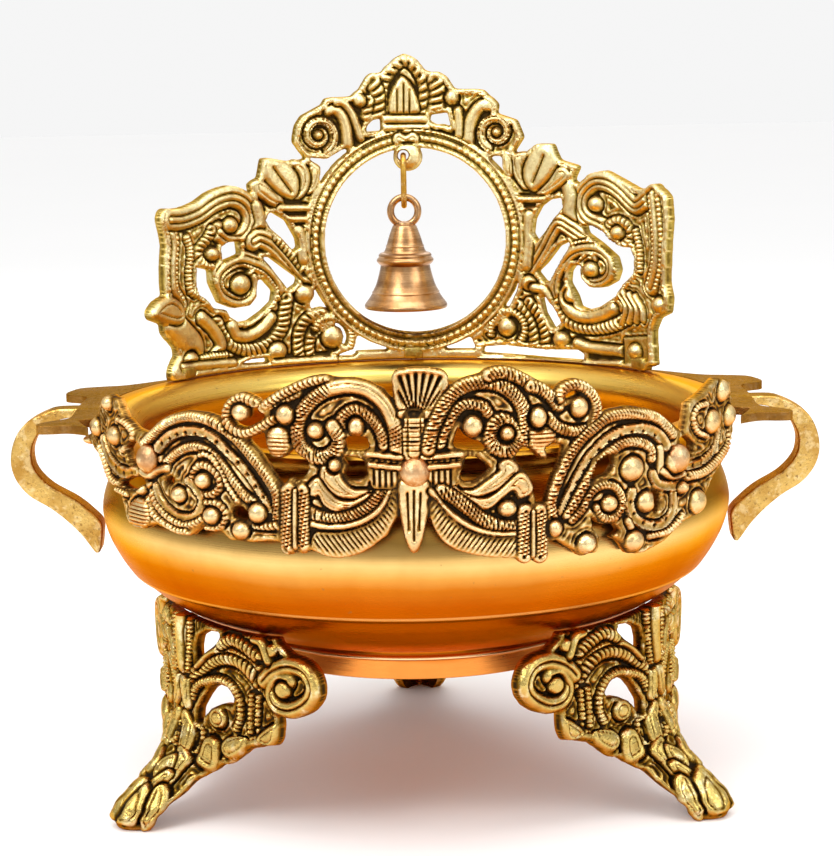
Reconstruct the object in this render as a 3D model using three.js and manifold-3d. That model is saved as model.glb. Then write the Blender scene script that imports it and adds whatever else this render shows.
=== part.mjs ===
// Brass urli: a bowl on three cast legs, a fretwork panel round the front, and an arched back panel with a hanging bell.
// Millimetres. Origin on the ground under the middle of the bowl, +Z up, front towards -Y.
import * as THREE from "three";
import { mergeVertices } from "three/addons/utils/BufferGeometryUtils.js";
import Module from "manifold-3d";

const wasm = await Module();
wasm.setup();

// ---- driving dimensions ----
const GAP = 0.3; // clearance between pieces that touch
const RIM_R = 127, RIM_Z = 157, LIP_IN_R = 119.8; // rim lip
const SEGMENTS = 42; // faces round the bowl
const PANEL_R0 = 129.9, PANEL_R1 = 132.2, PANEL_R2 = 135.6, PANEL_REF = 133; // front fretwork: back, plate and raised faces
const ARCH_R0 = 126.6, ARCH_R1 = 122.4, ARCH_REF = 121.5; // back arch: back and front faces
const LEG_R = 104, LEG_T = 5, LEG_ANGLES = [-60, 60, 180]; // leg corner radius, plate and raised thickness, degrees from the front
const TOE_R = 139.5; // the toes are rounded off to this radius
const LEG_HALF_TOP = 71.5, LEG_HALF_FOOT = 30; // half of the angle between the two wings of a leg, degrees
const LEG_FLARE = [[0, 31], [5, 33], [9, 30], [14, 22], [20, 14], [28, 6], [38, 1.2], [60, 0], [200, 0]]; // height, how far the corner kicks out
const BELL_X = -3, BELL_Y = 123.8; // line the bell hangs on
const EYE_Z = 250.9, EYE_R = 2.5, LINK_WIRE_R = 1.3, LINK_TOP_Z = 250.4, LINK_BOTTOM_Z = 227.6, LINK_HALF_Y = 4.9;
const SCREW_R = 1.3, SCREW_HEAD_R = 2.7, SCREW_HEAD_H = 1.8, HOLE_R = 1.6;
const STRAP_W = 11; // handle strap, along Y
const PINS = [[-0.1, 152.0], [-48.3, 150.8], [47.2, 147.6]]; // front panel pins: degrees from the front, height
const EAR_T = 3.4, EAR_SLOT_R = 137.2; // handle ear thickness; the front of the ear stands clear of the fretwork panel
const ARCH_SCREWS = [-54, 0.0, 54]; // degrees from the back
const LEG_SCREW_S = 34, LEG_SCREW_IN = 5.6; // along the wing, inwards from it

// ---- outlines: u is the length round the reference cylinder (or along the leg wing), v the height ----
const FRONT_BASE = [[[86.6,114.8,83.2,115.6,75.2,122.8,79.2,124.3,76.7,127.3,70.6,128.1,66.6,130.9,66.9,127.3,70.2,123.3,68.2,117.5,62.2,117.1,52.6,123.7,48.7,124.4,46.2,117.1,43.2,118.8,39.2,117.6,20.2,121.1,13.3,123.8,8.2,128.8,4.7,140.2,2.9,130.8,-0.8,123.1,-3.1,125.8,-5.8,137.6,-10.3,129.1,-24.3,121.5,-43.8,123.4,-47.3,121.8,-50.8,125.4,-71.4,124.5,-75.8,127.7,-81.8,127.6,-83.4,129.1,-90.4,124.5,-110.4,125.9,-117.8,123,-126.4,123,-129.3,123.8,-134.4,133.2,-151.9,143.8,-171.4,148.1,-172.7,150.3,-167.7,155.8,-155.4,163.4,-150.1,169.3,-142.4,171.5,-135.4,171.3,-128.8,164.1,-114.4,160.2,-91.4,170.5,-73.4,169.8,-70.4,176.2,-64.4,179.2,-58.8,177.3,-58.2,175.3,-64.1,175.8,-61.4,172.3,-63.8,169.1,-67.3,169.8,-68.8,172.9,-70,170.3,-68.3,167.3,-63.4,166.2,-55.8,169.8,-55.3,172.3,-57.2,174.3,-53.8,178.8,-37.3,186.5,-17.8,185.5,-7.3,178.7,-6.8,188.2,-1.3,189.7,11.5,187.8,10.7,179.6,17.7,184.6,30.2,188.7,38.2,186.6,52.2,178,55.6,181,62.6,181.5,69.4,175.8,71.2,168.5,83.2,170.6,93.2,168.5,114.2,156.8,117.9,167.3,142.6,173.6,155.6,170.1,159.8,149.8,152.2,142.6,135.6,135.4,129.7,129.8,129.2,124.5,113.3,122.3,94.6,115.1], [97.4,128.8,99.8,132.3,99.2,136.3,95.6,137.6,95.2,130.3], [-68.1,132.8,-63.8,132.4,-62.9,135.3,-68.8,137.4,-70.4,133.8], [-127.5,137.3,-119.8,138.3,-115.4,141.3,-116.8,142.8,-123.4,142.9,-134.3,138.3], [44.4,137.3,47.7,137.3,55.2,158.8,50.7,160.1,47.7,158.5,48.2,154,39.2,159.7,36.3,156.3,40.8,149.8], [65.9,144.8,74.6,146.8,76.9,149.3,76.9,153.3,68.9,151.3], [-49.4,146.3,-46.3,149.4,-41.1,149.3,-38.5,152.8,-39.1,155.8,-44.3,160,-47.3,157.1,-51.4,156.9,-56.4,166.1,-63.1,163.3], [-122.8,147.3,-116.4,149.3,-116.5,153.8,-120.8,156.3,-125.4,155.5,-128.8,152.3,-126.8,148.5], [114.5,147.3,120.6,147.6,121.2,151.8,116.2,155.1,111.6,154.9,112.2,150.1], [17.6,147.8,21.2,148,27.2,152.3,21.7,156.9,18.7,157.1,15.9,149.8], [-24.1,149.3,-19.3,149.3,-17.3,151,-18.3,156.4,-26.2,157.3,-24.2,154.3,-25.8,151.3], [23.8,158.8,25.8,159.8,15.6,167.8,14.7,160.2], [-24.7,160.3,-16.3,160.7,-16.8,164.3,-21.3,165.6,-24.8,164.3], [55.8,175.3,62.8,177.8,57.3,178.3]]];
const FRONT_RAISED = [[[45.2,118.2,43.2,120.2,39.2,118.7,36.2,122,26.3,122.3,14.6,125.8,9.3,130.8,8.7,135.9,17.7,128.8,23.5,127.3,9.2,136.8,5.2,143.4,1.1,126.8,-0.3,124.5,-1.8,124.7,-3.8,130.3,-5.8,147.5,-13.8,148.8,-15.8,156.8,-15.3,158.4,-8.3,158.3,-8.9,168.8,-13.8,177.7,-21.8,181.2,-30.3,180,-36.3,176.1,-40.5,169.8,-40.5,163.3,-36.8,159.7,-31.8,159.6,-28.8,163.3,-30.3,169.5,-22.8,175.2,-17.3,174.2,-12.2,168.8,-10.3,162.8,-11.8,162.7,-16.3,171.2,-20.3,173.4,-23.3,172.8,-25.1,170.8,-24.8,168.6,-22.3,171.5,-19.8,172.1,-18.1,167.8,-19.8,165.7,-24.8,165.3,-28.2,157.8,-26.8,154.8,-27.6,151.3,-24.3,147,-16.3,142.7,-10.3,146.6,-8.1,144.8,-8.3,142.4,-12.3,137.5,-20.3,133.1,-31.3,131.3,-38.8,132.7,-40.8,123.8,-47.8,123.3,-48.8,133.8,-47.3,145.5,-39.8,145.2,-38.8,138,-32.3,136,-25.8,137.3,-38.5,145.3,-36.8,148.1,-33.6,149.3,-32.5,155.3,-40.8,158.4,-43.5,162.3,-44.4,168.8,-51,170.8,-48.3,176.2,-42.8,173.6,-32.5,183.8,-38.3,183.6,-42.5,179.8,-48.3,177,-53.8,175.4,-54.4,176.3,-44.5,182.3,-36.1,185.3,-20.8,184.8,-14.8,182.9,-10,178.8,-5.9,172.3,-4.7,159.8,-6,153.3,-4.8,149.1,2.7,149.5,4,150.8,4,158.3,-0.3,156.7,-2.9,158.8,-2.3,170.8,2,170.8,3.2,164.8,6.1,170.8,0.2,175,-4.5,173.3,-6.9,185.8,-5.8,187.6,-2.2,188.8,5.2,188.8,10.5,186.8,11.4,183.3,9.2,177.4,16.9,183.3,31.7,188,39.1,185.3,51.6,177.3,57.2,180.8,63.8,180.3,69.2,174.8,70.6,167.5,83.2,168.4,93.5,166.8,99.6,164.3,106.5,158.8,106.6,156.9,96.6,163.9,84.2,166.5,74.2,166.1,66.2,161.9,59.8,156.3,55,148.8,51.4,140.3,50.7,133,48.8,135.3,50,141.8,54.6,151.9,61.2,161.8,52.6,164.8,48.7,168.1,46.7,165.8,50.2,164.1,50.8,161.3,47.2,158.8,47.2,156.5,44.6,157.3,41.2,161.4,35.7,157.4,30.7,157.4,26.6,160.8,26.2,166.8,28.4,170.3,33.3,170.3,36,166.3,35.9,163.8,34.2,162.5,31.9,162.8,30.7,167.7,28.8,165.8,28.7,162.8,32.7,159.7,36.7,161,39.1,169.3,36.8,175.8,32.2,180.1,26.2,182.4,19.7,181.6,15.2,179.1,11.6,174.8,4.9,158.3,9.2,157,15.7,157.8,13,148.8,10.7,146.3,18.2,141.9,29.2,149.9,31.7,153.9,35.2,153.7,36.7,149.8,41.1,146.8,41.2,143.2,38.7,142,34.2,143.9,26.7,138.9,21.8,138.3,25.7,134.6,31.2,132.3,37.2,131.7,38.7,136.2,40.2,137,43.2,135.2,47.1,135.8,48.2,130.2,50.7,132.2,52.6,131.1,53.5,127.3,51.2,125.8,47.7,127.3,47,119.3]]];
const ARCH_BASE = [[[-121.8,157.5,-122.5,160.8,-119.7,167.8,-121.4,175.3,-127.3,182.5,-137.7,186.3,-138.7,189.8,-126.3,195.8,-125.2,214.3,-128.4,229.3,-125.3,231.6,-108.8,232.7,-86.8,239.1,-74.3,234.7,-75.1,239.8,-70.3,242.6,-68.3,250.9,-54.3,249.2,-47.5,250.3,-52.7,258.3,-51.5,264.8,-48.3,269.5,-39.4,273.8,-36.8,277,-24.9,278.3,-18.8,286,-12.3,287.9,-1.8,296.2,7.6,288.3,16.5,285.8,20.6,280.3,33.7,279,40,272.8,40.4,270.3,46.6,267.3,51.4,258.3,47.6,250.8,52.2,251.3,57.7,255,65.2,255.1,69.2,248.4,78.8,245.3,76.7,238.2,80.2,238,84.2,242.1,92.7,244.1,111.9,236.8,124.2,238.6,133,234.3,134.4,224.8,131.9,197.3,134,189.3,132.8,184.3,125.9,181.3,122.8,176.3,123.2,160.3,118.2,158.8,118.2,157.3], [63.3,158.8,80.7,158.7,81.7,161.5,77.7,163.2,41.2,163.7,32.7,163,31.6,160.3], [-75,159.8,-68.3,159.5,-69.3,161.7,-82.7,160.3], [-32.8,159.8,-11,162.3,-25.3,169.1,-27.7,162.3,-34.9,160.3], [14.5,161.8,28.2,162.8,25.7,167.3], [-31.8,164.8,-30.2,165.3,-29.8,170.3,-32.8,174.4,-36.4,175.8,-32.1,170.8], [-2.9,169.8,14.2,171.6,28,179.8,38.4,193.3,42.8,208.8,40.9,225.3,32.9,239.3,20.2,249.3,5.2,253.6,-10.3,251.8,-24.3,244.1,-34.6,231.3,-39.1,215.8,-37.5,199.8,-29.8,185.2,-17.3,174.5], [65.6,172.3,69.7,175.3,61.7,186.7,59.9,185.8,61.3,179.3], [-83.3,179.3,-77.3,179.1,-65.5,186.8,-64.6,191.8,-68.9,196.8,-72.3,197.3,-73.2,189.8,-76.8,186.2,-85.8,185.6,-92.8,188.8,-97.3,197.8,-97.8,203.6,-106.3,205.3,-105.7,193.8,-96.3,186.5,-89.3,185.1,-88.1,182.3], [-38.8,179.3,-37,180.3,-44.8,192.3,-47.2,184.8,-46.3,181.8,-41.3,182], [41.7,180.8,44.7,182.3,48.7,192.7], [83,181.8,90.7,183.7,99.7,189.2,110.6,199.8,110.6,206.8,108.7,210.7,102.7,210.9,86.7,219.4,82.1,219.3,83.4,215.8,98.7,206.2,100.7,200.8,98.5,195.3,92.2,192.2,85.2,191.8,80.6,195.8,80.1,201.3,76.2,201.2,73.8,193.3,79.2,182.9], [-57.5,191.8,-53.5,193.8,-52.6,196.8,-65.6,206.8,-69.7,206.8], [61.4,193.8,64.4,193.8,74.9,210.3,73.7,211.8,68.7,209.7,58,197.8], [-90.9,206.8,-81.7,209.3,-81.9,214.8,-87.8,215.2,-91.4,213.3], [-54.5,209.3,-52.3,210.3,-52.7,214.3,-57.2,222.8,-65.8,226.9,-67.4,223.3,-65.3,219.9], [58,211.8,70.7,226.8,70.2,231.4,63.7,230.1,59.7,226.9,55.9,215.3], [-40.8,239.8,-27.5,253.3,-29.8,253.8,-37.8,249.6,-45,250.3,-40.5,246.3], [41.8,242.3,41.7,249.3,36.3,249.3], [-18.9,261.3,-12.8,261.7,-12.8,267,-16.5,266.3], [17.7,263.3,17.2,269.3,9.9,268.3,9.3,265.8,11.7,264.2]]];
const LEG_BASE = [[[-7.1,0,-13.6,2.8,-18,7,-19.1,18.7,-26.8,26.5,-39.1,34.9,-52.4,40.5,-53.6,51,-63.1,52.3,-71,57,-74.5,64,-71.1,71.9,-60.6,74.8,-52.6,80.7,-26.6,79.5,-0.1,82.9,26.9,79.5,52.9,80.7,60.9,74.6,68.9,73.2,72.3,70.5,74.4,64.5,71.8,58,63.4,52.3,53.9,51.5,52.4,40.4,38.5,34.5,26.4,26.1,19,18.5,18.6,9,15.3,4,5.9,0], [-12.1,41,-9.6,40.8,-9.2,41,-9.3,46,-13.1,51.6,-16.6,55.5,-20.6,57.4,-25.6,57,-26.1,56.9,-29.4,53.5,-29.5,53,-28.9,51,-28.6,50.6,-22.6,50,-16.6,47.1,-13.1,43.5], [9.2,41,9.4,40.8,11.9,41,13.1,43.5,16.9,47.3,22.6,50,28.4,50.6,28.9,51,29.5,53,29.4,53.5,25.9,57,20.9,57.5,16.4,55.4,13.1,51.5,9.3,46], [-8.7,65,-9.7,75,-15.1,78.1,-21.1,78.5,-21.8,76], [8.5,65.5,21.8,76,21.4,78.5,15.4,78.2,9.9,75.3]]];

// ---- helpers ----
function toSolid(geometry) {
  const g = geometry.index ? geometry.toNonIndexed() : geometry.clone();
  const bare = new THREE.BufferGeometry().setAttribute("position", g.getAttribute("position"));
  const m = mergeVertices(bare, 1e-3);
  return new wasm.Manifold(new wasm.Mesh({ numProp: 3, vertProperties: m.attributes.position.array, triVerts: new Uint32Array(m.index.array) }));
}
function toGeometry(solid) {
  const m = solid.getMesh(), n = m.numProp, v = new Float32Array(m.numVert * 3);
  for (let i = 0; i < m.numVert; i++) v.set(m.vertProperties.subarray(i * n, i * n + 3), i * 3);
  return new THREE.BufferGeometry().setAttribute("position", new THREE.BufferAttribute(v, 3)).setIndex(new THREE.BufferAttribute(new Uint32Array(m.triVerts), 1)).toNonIndexed();
}
const join = (...s) => s.flat().reduce((a, b) => a.add(b));
const cut = (a, ...s) => s.flat().reduce((x, y) => x.subtract(y), a);
function lathe(profile, segments) {
  const g = new THREE.LatheGeometry(profile.map(([r, z]) => new THREE.Vector2(r, z)), segments);
  g.rotateX(Math.PI / 2);
  return toSolid(g);
}
// A round bar from one point to another.
function bar(a, b, r, segments = 8, r2 = r) {
  const A = new THREE.Vector3(...a), B = new THREE.Vector3(...b), d = B.clone().sub(A);
  const g = new THREE.CylinderGeometry(r2, r, d.length(), segments);
  g.translate(0, d.length() / 2, 0);
  g.applyQuaternion(new THREE.Quaternion().setFromUnitVectors(new THREE.Vector3(0, 1, 0), d.clone().normalize()));
  g.translate(A.x, A.y, A.z);
  return toSolid(g);
}
// A solid of revolution set along a direction: profile of [radius, distance].
function turned(profile, at, direction, segments = 14) {
  const g = new THREE.LatheGeometry(profile.map(([r, z]) => new THREE.Vector2(r, z)), segments);
  g.applyQuaternion(new THREE.Quaternion().setFromUnitVectors(new THREE.Vector3(0, 1, 0), new THREE.Vector3(...direction).normalize()));
  g.translate(...at);
  return toSolid(g);
}
// Signed area of a ring of [u, v] points, and whether a point is inside it.
const area = (r) => r.reduce((a, p, i) => { const q = r[(i + 1) % r.length]; return a + p[0] * q[1] - q[0] * p[1]; }, 0) / 2;
const inside = (p, r) => r.reduce((c, a, i) => { const b = r[(i + 1) % r.length]; return a[1] > p[1] !== b[1] > p[1] && p[0] < ((b[0] - a[0]) * (p[1] - a[1])) / (b[1] - a[1]) + a[0] ? !c : c; }, false);
// The part of a set of rings on one side of a line of constant u or v. Rings keep their direction.
function clip(rings, axis, c, side) {
  const out = [], chains = [];
  for (const ring of rings) {
    const n = ring.length, s = ring.map((p) => (p[axis] - c) * side > 0);
    if (s.every(Boolean)) { out.push(ring); continue; }
    if (!s.some(Boolean)) continue;
    const cross = (p, q) => {
      const [P, Q] = p[1 - axis] < q[1 - axis] || (p[1 - axis] === q[1 - axis] && p[axis] < q[axis]) ? [p, q] : [q, p];
      const m = [0, 0];
      m[axis] = c; m[1 - axis] = P[1 - axis] + ((c - P[axis]) / (Q[axis] - P[axis])) * (Q[1 - axis] - P[1 - axis]);
      return m;
    };
    const first = s.findIndex((x, i) => !x && s[(i + 1) % n]);
    let chain = null;
    for (let k = 0; k < n; k++) {
      const i = (first + k) % n, j = (i + 1) % n;
      if (!s[i] && s[j]) chain = [cross(ring[i], ring[j])];
      else if (s[i]) {
        chain.push(ring[i]);
        if (!s[j]) { chain.push(cross(ring[i], ring[j])); chains.push(chain); }
      }
    }
  }
  const ends = chains.flatMap((ch, i) => [{ v: ch[0][1 - axis], i, start: true }, { v: ch[ch.length - 1][1 - axis], i, start: false }]).sort((a, b) => a.v - b.v);
  const used = new Set();
  for (let i = 0; i < chains.length; i++) {
    if (used.has(i)) continue;
    const loop = [];
    let k = i;
    while (!used.has(k)) {
      used.add(k);
      loop.push(...chains[k]);
      const at = ends.findIndex((e) => e.i === k && !e.start);
      k = ends[at ^ 1].i;
    }
    out.push(loop);
  }
  return out;
}
// The flat pieces of an outline between lines of constant u and v, as triangles.
function triangles(rings, cutsU, cutsV) {
  let cells = [rings];
  for (const [axis, cuts] of [[0, cutsU], [1, cutsV]]) for (const c of cuts) cells = cells.flatMap((r) => [clip(r, axis, c, -1), clip(r, axis, c, 1)]).filter((r) => r.length);
  const out = [];
  for (const cell of cells) {
    for (const outer of cell.filter((r) => area(r) > 0)) {
      const holes = cell.filter((r) => area(r) < 0 && inside(r[0], outer));
      const v2 = (r) => r.map((p) => new THREE.Vector2(...p)), all = [outer, ...holes].flat();
      for (const f of THREE.ShapeUtils.triangulateShape(v2(outer), holes.map(v2))) out.push(f.map((i) => all[i]));
    }
  }
  return out;
}
const key = (p) => Math.round(p[0] * 2000) + "," + Math.round(p[1] * 2000);
// A plate from an outline with holes, between two faces; place(u, v, t) gives the point in space.
function plate(rings, cutsU, cutsV, place, t0, t1) {
  const ring = (l, sign) => {
    const r = [];
    for (let i = 0; i < l.length; i += 2) r.push([l[i], l[i + 1]]);
    return Math.sign(area(r)) === sign ? r : r.reverse();
  };
  let tris = triangles(rings.map((l, i) => ring(l, i ? -1 : 1)), cutsU, cutsV);
  const seen = new Map();
  const same = (p) => { const k = key(p); if (!seen.has(k)) seen.set(k, p); return seen.get(k); };
  tris = tris.map((t) => t.map(same)).filter((t) => new Set(t).size === 3);
  const edges = new Map(), pos = [];
  for (const t of tris) for (let i = 0; i < 3; i++) edges.set(key(t[i]) + "|" + key(t[(i + 1) % 3]), [t[i], t[(i + 1) % 3]]);
  const push = (...p) => p.forEach((q) => pos.push(...q));
  for (const [a, b, c] of tris) {
    push(place(...a, t1), place(...b, t1), place(...c, t1));
    push(place(...a, t0), place(...c, t0), place(...b, t0));
  }
  for (const [k, [a, b]] of edges) {
    const [ka, kb] = k.split("|");
    if (edges.has(kb + "|" + ka)) continue;
    push(place(...a, t0), place(...b, t0), place(...b, t1));
    push(place(...a, t0), place(...b, t1), place(...a, t1));
  }
  return toSolid(new THREE.BufferGeometry().setAttribute("position", new THREE.BufferAttribute(new Float32Array(pos), 3)));
}
const range = (a, b, n) => Array.from({ length: n - 1 }, (_, i) => a + ((b - a) * (i + 1)) / n);
const rad = THREE.MathUtils.degToRad;

// ---- bowl ----
const BOWL_PROFILE = [
  [0, 66], [66, 66], [66.6, 58.6], [70.7, 58.6], [71.7, 67], [71.2, 69.7], [85, 73.5], [98, 79.5], [108, 86], [114.6, 91.6], [115.9, 92.4], [117.7, 93.8],
  [122, 100], [125.8, 107.5], [128, 115.5], [127.7, 122], [125, 130], [120.5, 137], [115.6, 142.6], [114, 147], [115.4, 151.2], [119, 154.5], [RIM_R, 155],
  [RIM_R, RIM_Z], [LIP_IN_R, RIM_Z], [115.6, 155.4], [112, 151.5], [111.2, 147], [112.9, 141.4], [118.3, 135.4], [122.8, 128.6], [125.5, 118.6], [123.2, 108.4], [117, 98.4],
  [106.2, 88.8], [84, 76.3], [70, 71.6], [54, 69.5], [0, 69.5],
];
const bearing = (deg, r, z) => [r * Math.sin(rad(deg)), -r * Math.cos(rad(deg)), z]; // degrees from the front
const backBearing = (deg, r, z) => [r * Math.sin(rad(deg)), r * Math.cos(rad(deg)), z]; // degrees from the back

// ---- leg geometry ----
function flare(z) {
  for (let i = 1; i < LEG_FLARE.length; i++) {
    const [z0, f0] = LEG_FLARE[i - 1], [z1, f1] = LEG_FLARE[i];
    if (z <= z1) return f0 + ((f1 - f0) * Math.max(z - z0, 0)) / (z1 - z0);
  }
  return 0;
}
function halfAngle(z) {
  const t = Math.min(Math.max((z - 5) / 31, 0), 1);
  return rad(LEG_HALF_FOOT + (LEG_HALF_TOP - LEG_HALF_FOOT) * t * t * (3 - 2 * t));
}
// A point of a leg that stands towards -Y before it is turned to its place: s along the wing, z up, t out from the back face.
function legPoint(s, z, t) {
  const w = halfAngle(z), side = s < 0 ? -1 : 1, c = [0, -(LEG_R + flare(z))];
  const d = [side * Math.sin(w), Math.cos(w)], n = [side * Math.cos(w), -Math.sin(w)];
  if (Math.abs(s) < 0.004) return [0, c[1] - t / Math.sin(w), z];
  return [c[0] + Math.abs(s) * d[0] + t * n[0], c[1] + Math.abs(s) * d[1] + t * n[1], z];
}
function turn(p, deg) {
  const a = rad(deg);
  return [p[0] * Math.cos(a) - p[1] * Math.sin(a), p[0] * Math.sin(a) + p[1] * Math.cos(a), p[2]];
}
const legScrews = (deg) => [-1, 1].map((k) => turn(legPoint(k * LEG_SCREW_S, 60, -LEG_SCREW_IN), deg));

// ---- the pieces ----
const pieces = {};
const screw = (x, y, z, length, up = 1) =>
  turned([[0, 0], [SCREW_HEAD_R * 0.7, 0], [SCREW_HEAD_R, SCREW_HEAD_H * 0.6], [SCREW_HEAD_R, SCREW_HEAD_H], [SCREW_R, SCREW_HEAD_H], [SCREW_R, length - 0.5], [SCREW_R * 0.6, length], [0, length]], [x, y, z], [0, 0, up], 12);

// bowl
{
  const holes = [];
  for (const [deg, z] of PINS) holes.push(bar(bearing(deg, 100, z), bearing(deg, 124, z), HOLE_R));
  for (const deg of ARCH_SCREWS) holes.push(bar(backBearing(deg, 123.4, 150), backBearing(deg, 123.4, 160), HOLE_R));
  for (const deg of LEG_ANGLES) for (const [x, y] of legScrews(deg)) holes.push(bar([x, y, 60], [x, y, 100], HOLE_R));
  pieces.bowl = cut(lathe(BOWL_PROFILE, SEGMENTS), holes);
}
// front fretwork panel
{
  const place = (u, v, t) => { const a = u / PANEL_REF; return [t * Math.sin(a), -t * Math.cos(a), v]; };
  const cuts = range(-190.037, 189.957, 13), cols = FRONT_BASE.map((g) => plate(g, cuts, [], place, PANEL_R0, PANEL_R1));
  const raised = FRONT_RAISED.map((g) => plate(g, cuts, [], place, PANEL_R0 + 0.9, PANEL_R2));
  const seats = PINS.map(([deg, z]) => bar(bearing(deg, PANEL_R0 - 1.5, z), bearing(deg, PANEL_R1 + 0.4, z), 6.2, 10));
  const bores = PINS.map(([deg, z]) => join(bar(bearing(deg, 120, z), bearing(deg, 142, z), HOLE_R), bar(bearing(deg, PANEL_R1 + 0.1, z), bearing(deg, 142, z), 5.9, 12)));
  pieces.front_panel = cut(join(cols, raised, seats), bores);
}
// back arch
{
  const place = (u, v, t) => { const a = u / ARCH_REF; return [t * Math.sin(a), t * Math.cos(a), v]; };
  const cuts = range(-150.037, 149.977, 11);
  const base = ARCH_BASE.map((g) => plate(g, cuts, [], (u, v, t) => place(u, v, ARCH_R0 - t), 0, ARCH_R0 - ARCH_R1));
  const lug = bar([BELL_X + 1.6, 122.2, 250.0], [BELL_X + 1.6, 125.4, 250.0], 6.4, 14);
  const feet = ARCH_SCREWS.map((deg) => { const g = new THREE.BoxGeometry(12, 5.9, 6); g.translate(0, 123.6, RIM_Z + GAP + 3); g.rotateZ(-rad(deg)); return toSolid(g); });
  const bores = ARCH_SCREWS.map((deg) => bar(backBearing(deg, 123.4, RIM_Z), backBearing(deg, 123.4, RIM_Z + 5), HOLE_R));
  const eye = bar([BELL_X, 115, EYE_Z], [BELL_X, 130, EYE_Z], EYE_R, 12);
  pieces.arch_panel = cut(join(base, lug, feet), bores, eye);
}
// legs
for (const [i, name] of ["leg_left", "leg_right", "leg_rear"].entries()) {
  const deg = LEG_ANGLES[i];
  const place = (s, z, t) => turn(legPoint(s, z, t), deg);
  const cutsV = [5.013, 10.013, 15.013, 22.013, 30.013, 38.013];
  const body = LEG_BASE.map((g) => plate(g, [0.003], cutsV, place, 0, LEG_T));
  const pads = legScrews(deg).map(([x, y]) => bar([x, y, 58], [x, y, 74.3], 4.6, 10));
  const webs = [-1, 1].map((k) => {
    const g = new THREE.BoxGeometry(8, LEG_SCREW_IN + 1, 14);
    g.translate(0, 0, 66);
    const a = turn(legPoint(k * LEG_SCREW_S, 66, -LEG_SCREW_IN / 2 + 0.4), deg), b = turn(legPoint(k * (LEG_SCREW_S + 5), 66, -LEG_SCREW_IN / 2 + 0.4), deg);
    g.rotateZ(Math.atan2(b[1] - a[1], b[0] - a[0]));
    g.translate(a[0], a[1], 0);
    return toSolid(g);
  });
  const bores = legScrews(deg).map(([x, y]) => bar([x, y, 62], [x, y, 80], HOLE_R));
  const ring = lathe([[TOE_R, -5], [180, -5], [180, 40], [TOE_R, 40], [TOE_R, -5]], 60);
  pieces[name] = cut(join(body, pads, webs), bores, ring);
}
// handles
const STRAP = [
  [127.6, 157], [140, 157.2], [146.5, 156.9], [150.4, 155.8], [156, 153.2], [160.6, 149.8], [163.8, 145], [165.6, 139.2], [165.8, 133], [163.4, 126.8], [158.4, 121], [150.4, 116], [144, 110.8], [138, 104.6], [132.6, 96.6],
  [130.2, 97.6], [129, 104], [128.9, 109.4], [133.4, 114], [139.6, 119.2], [149.6, 125.2], [155.4, 131.4], [157, 137], [156.4, 142], [153.4, 147.4], [147.6, 151.6], [140, 153.4], [127.6, 153.6],
];
const EAR = [[-22.4, 137.2], [-20, 140.4], [-18.6, 144], [-18.2, 150], [-17.4, 154.4], [-15.6, 154.2], [-14, 150.5], [-12, 142], [-10, 139.5], [-5, 138], [1, 138], [6, 138.4], [10, 139.5], [12, 142.5], [13.2, 150.6], [15, 153.2], [17.7, 153.7], [20.4, 152.8], [22.8, 145.9], [24.8, 139.5], [28, 135.2], [33, 131.5], [39, 128.3]];
for (const [side, name] of [[-1, "handle_left"], [1, "handle_right"]]) {
  const pts = EAR.map(([d, r]) => [r * Math.cos(rad(d)), r * Math.sin(rad(d))]);
  for (const d of [39, 32, 25, 18, 11, 4, -3, -10, -13.8]) pts.push([(RIM_R + GAP + 0.1) * Math.cos(rad(d)), (RIM_R + GAP + 0.1) * Math.sin(rad(d))]);
  for (const d of [-13.8, -18]) pts.push([EAR_SLOT_R * Math.cos(rad(d)), EAR_SLOT_R * Math.sin(rad(d))]);
  const ear = new THREE.ExtrudeGeometry(new THREE.Shape(pts.map(([x, y]) => new THREE.Vector2(x, y))), { depth: EAR_T, bevelEnabled: false });
  ear.translate(0, 0, RIM_Z - EAR_T);
  const strap = new THREE.ExtrudeGeometry(new THREE.Shape(STRAP.map(([x, z]) => new THREE.Vector2(x, z))), { depth: STRAP_W, bevelEnabled: true, bevelThickness: 0.9, bevelSize: 0.9, bevelOffset: -0.9, bevelSegments: 1 });
  strap.rotateX(Math.PI / 2);
  strap.translate(0, STRAP_W / 2, 0);
  let s = join(toSolid(ear), toSolid(strap));
  const clear = lathe([[0, 90], [119, 95.6], [123, 101], [126.6, 108], [128.5, 115.5], [128.2, 122.2], [125.4, 130.2], [127.3, 154.6], [127.3, 170], [0, 170]], 60);
  s = cut(s, clear);
  pieces[name] = side > 0 ? s : s.mirror([1, 0, 0]);
}
// screws under the rim
["left", "middle", "right"].forEach((tag, i) => {
  const [x, y] = backBearing(ARCH_SCREWS[i], 123.4, 0);
  pieces["arch_screw_" + tag] = screw(x, y, 154.2 - SCREW_HEAD_H, 9);
});
// leg screws, from inside the bowl
["left", "right", "rear"].forEach((tag, i) => {
  legScrews(LEG_ANGLES[i]).forEach(([x, y], k) => {
    const r = Math.hypot(x, y);
    pieces["leg_screw_" + tag + "_" + (k ? "b" : "a")] = screw(x, y, 84.6 + SCREW_HEAD_H, 21.5, -1);
  });
});
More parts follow.
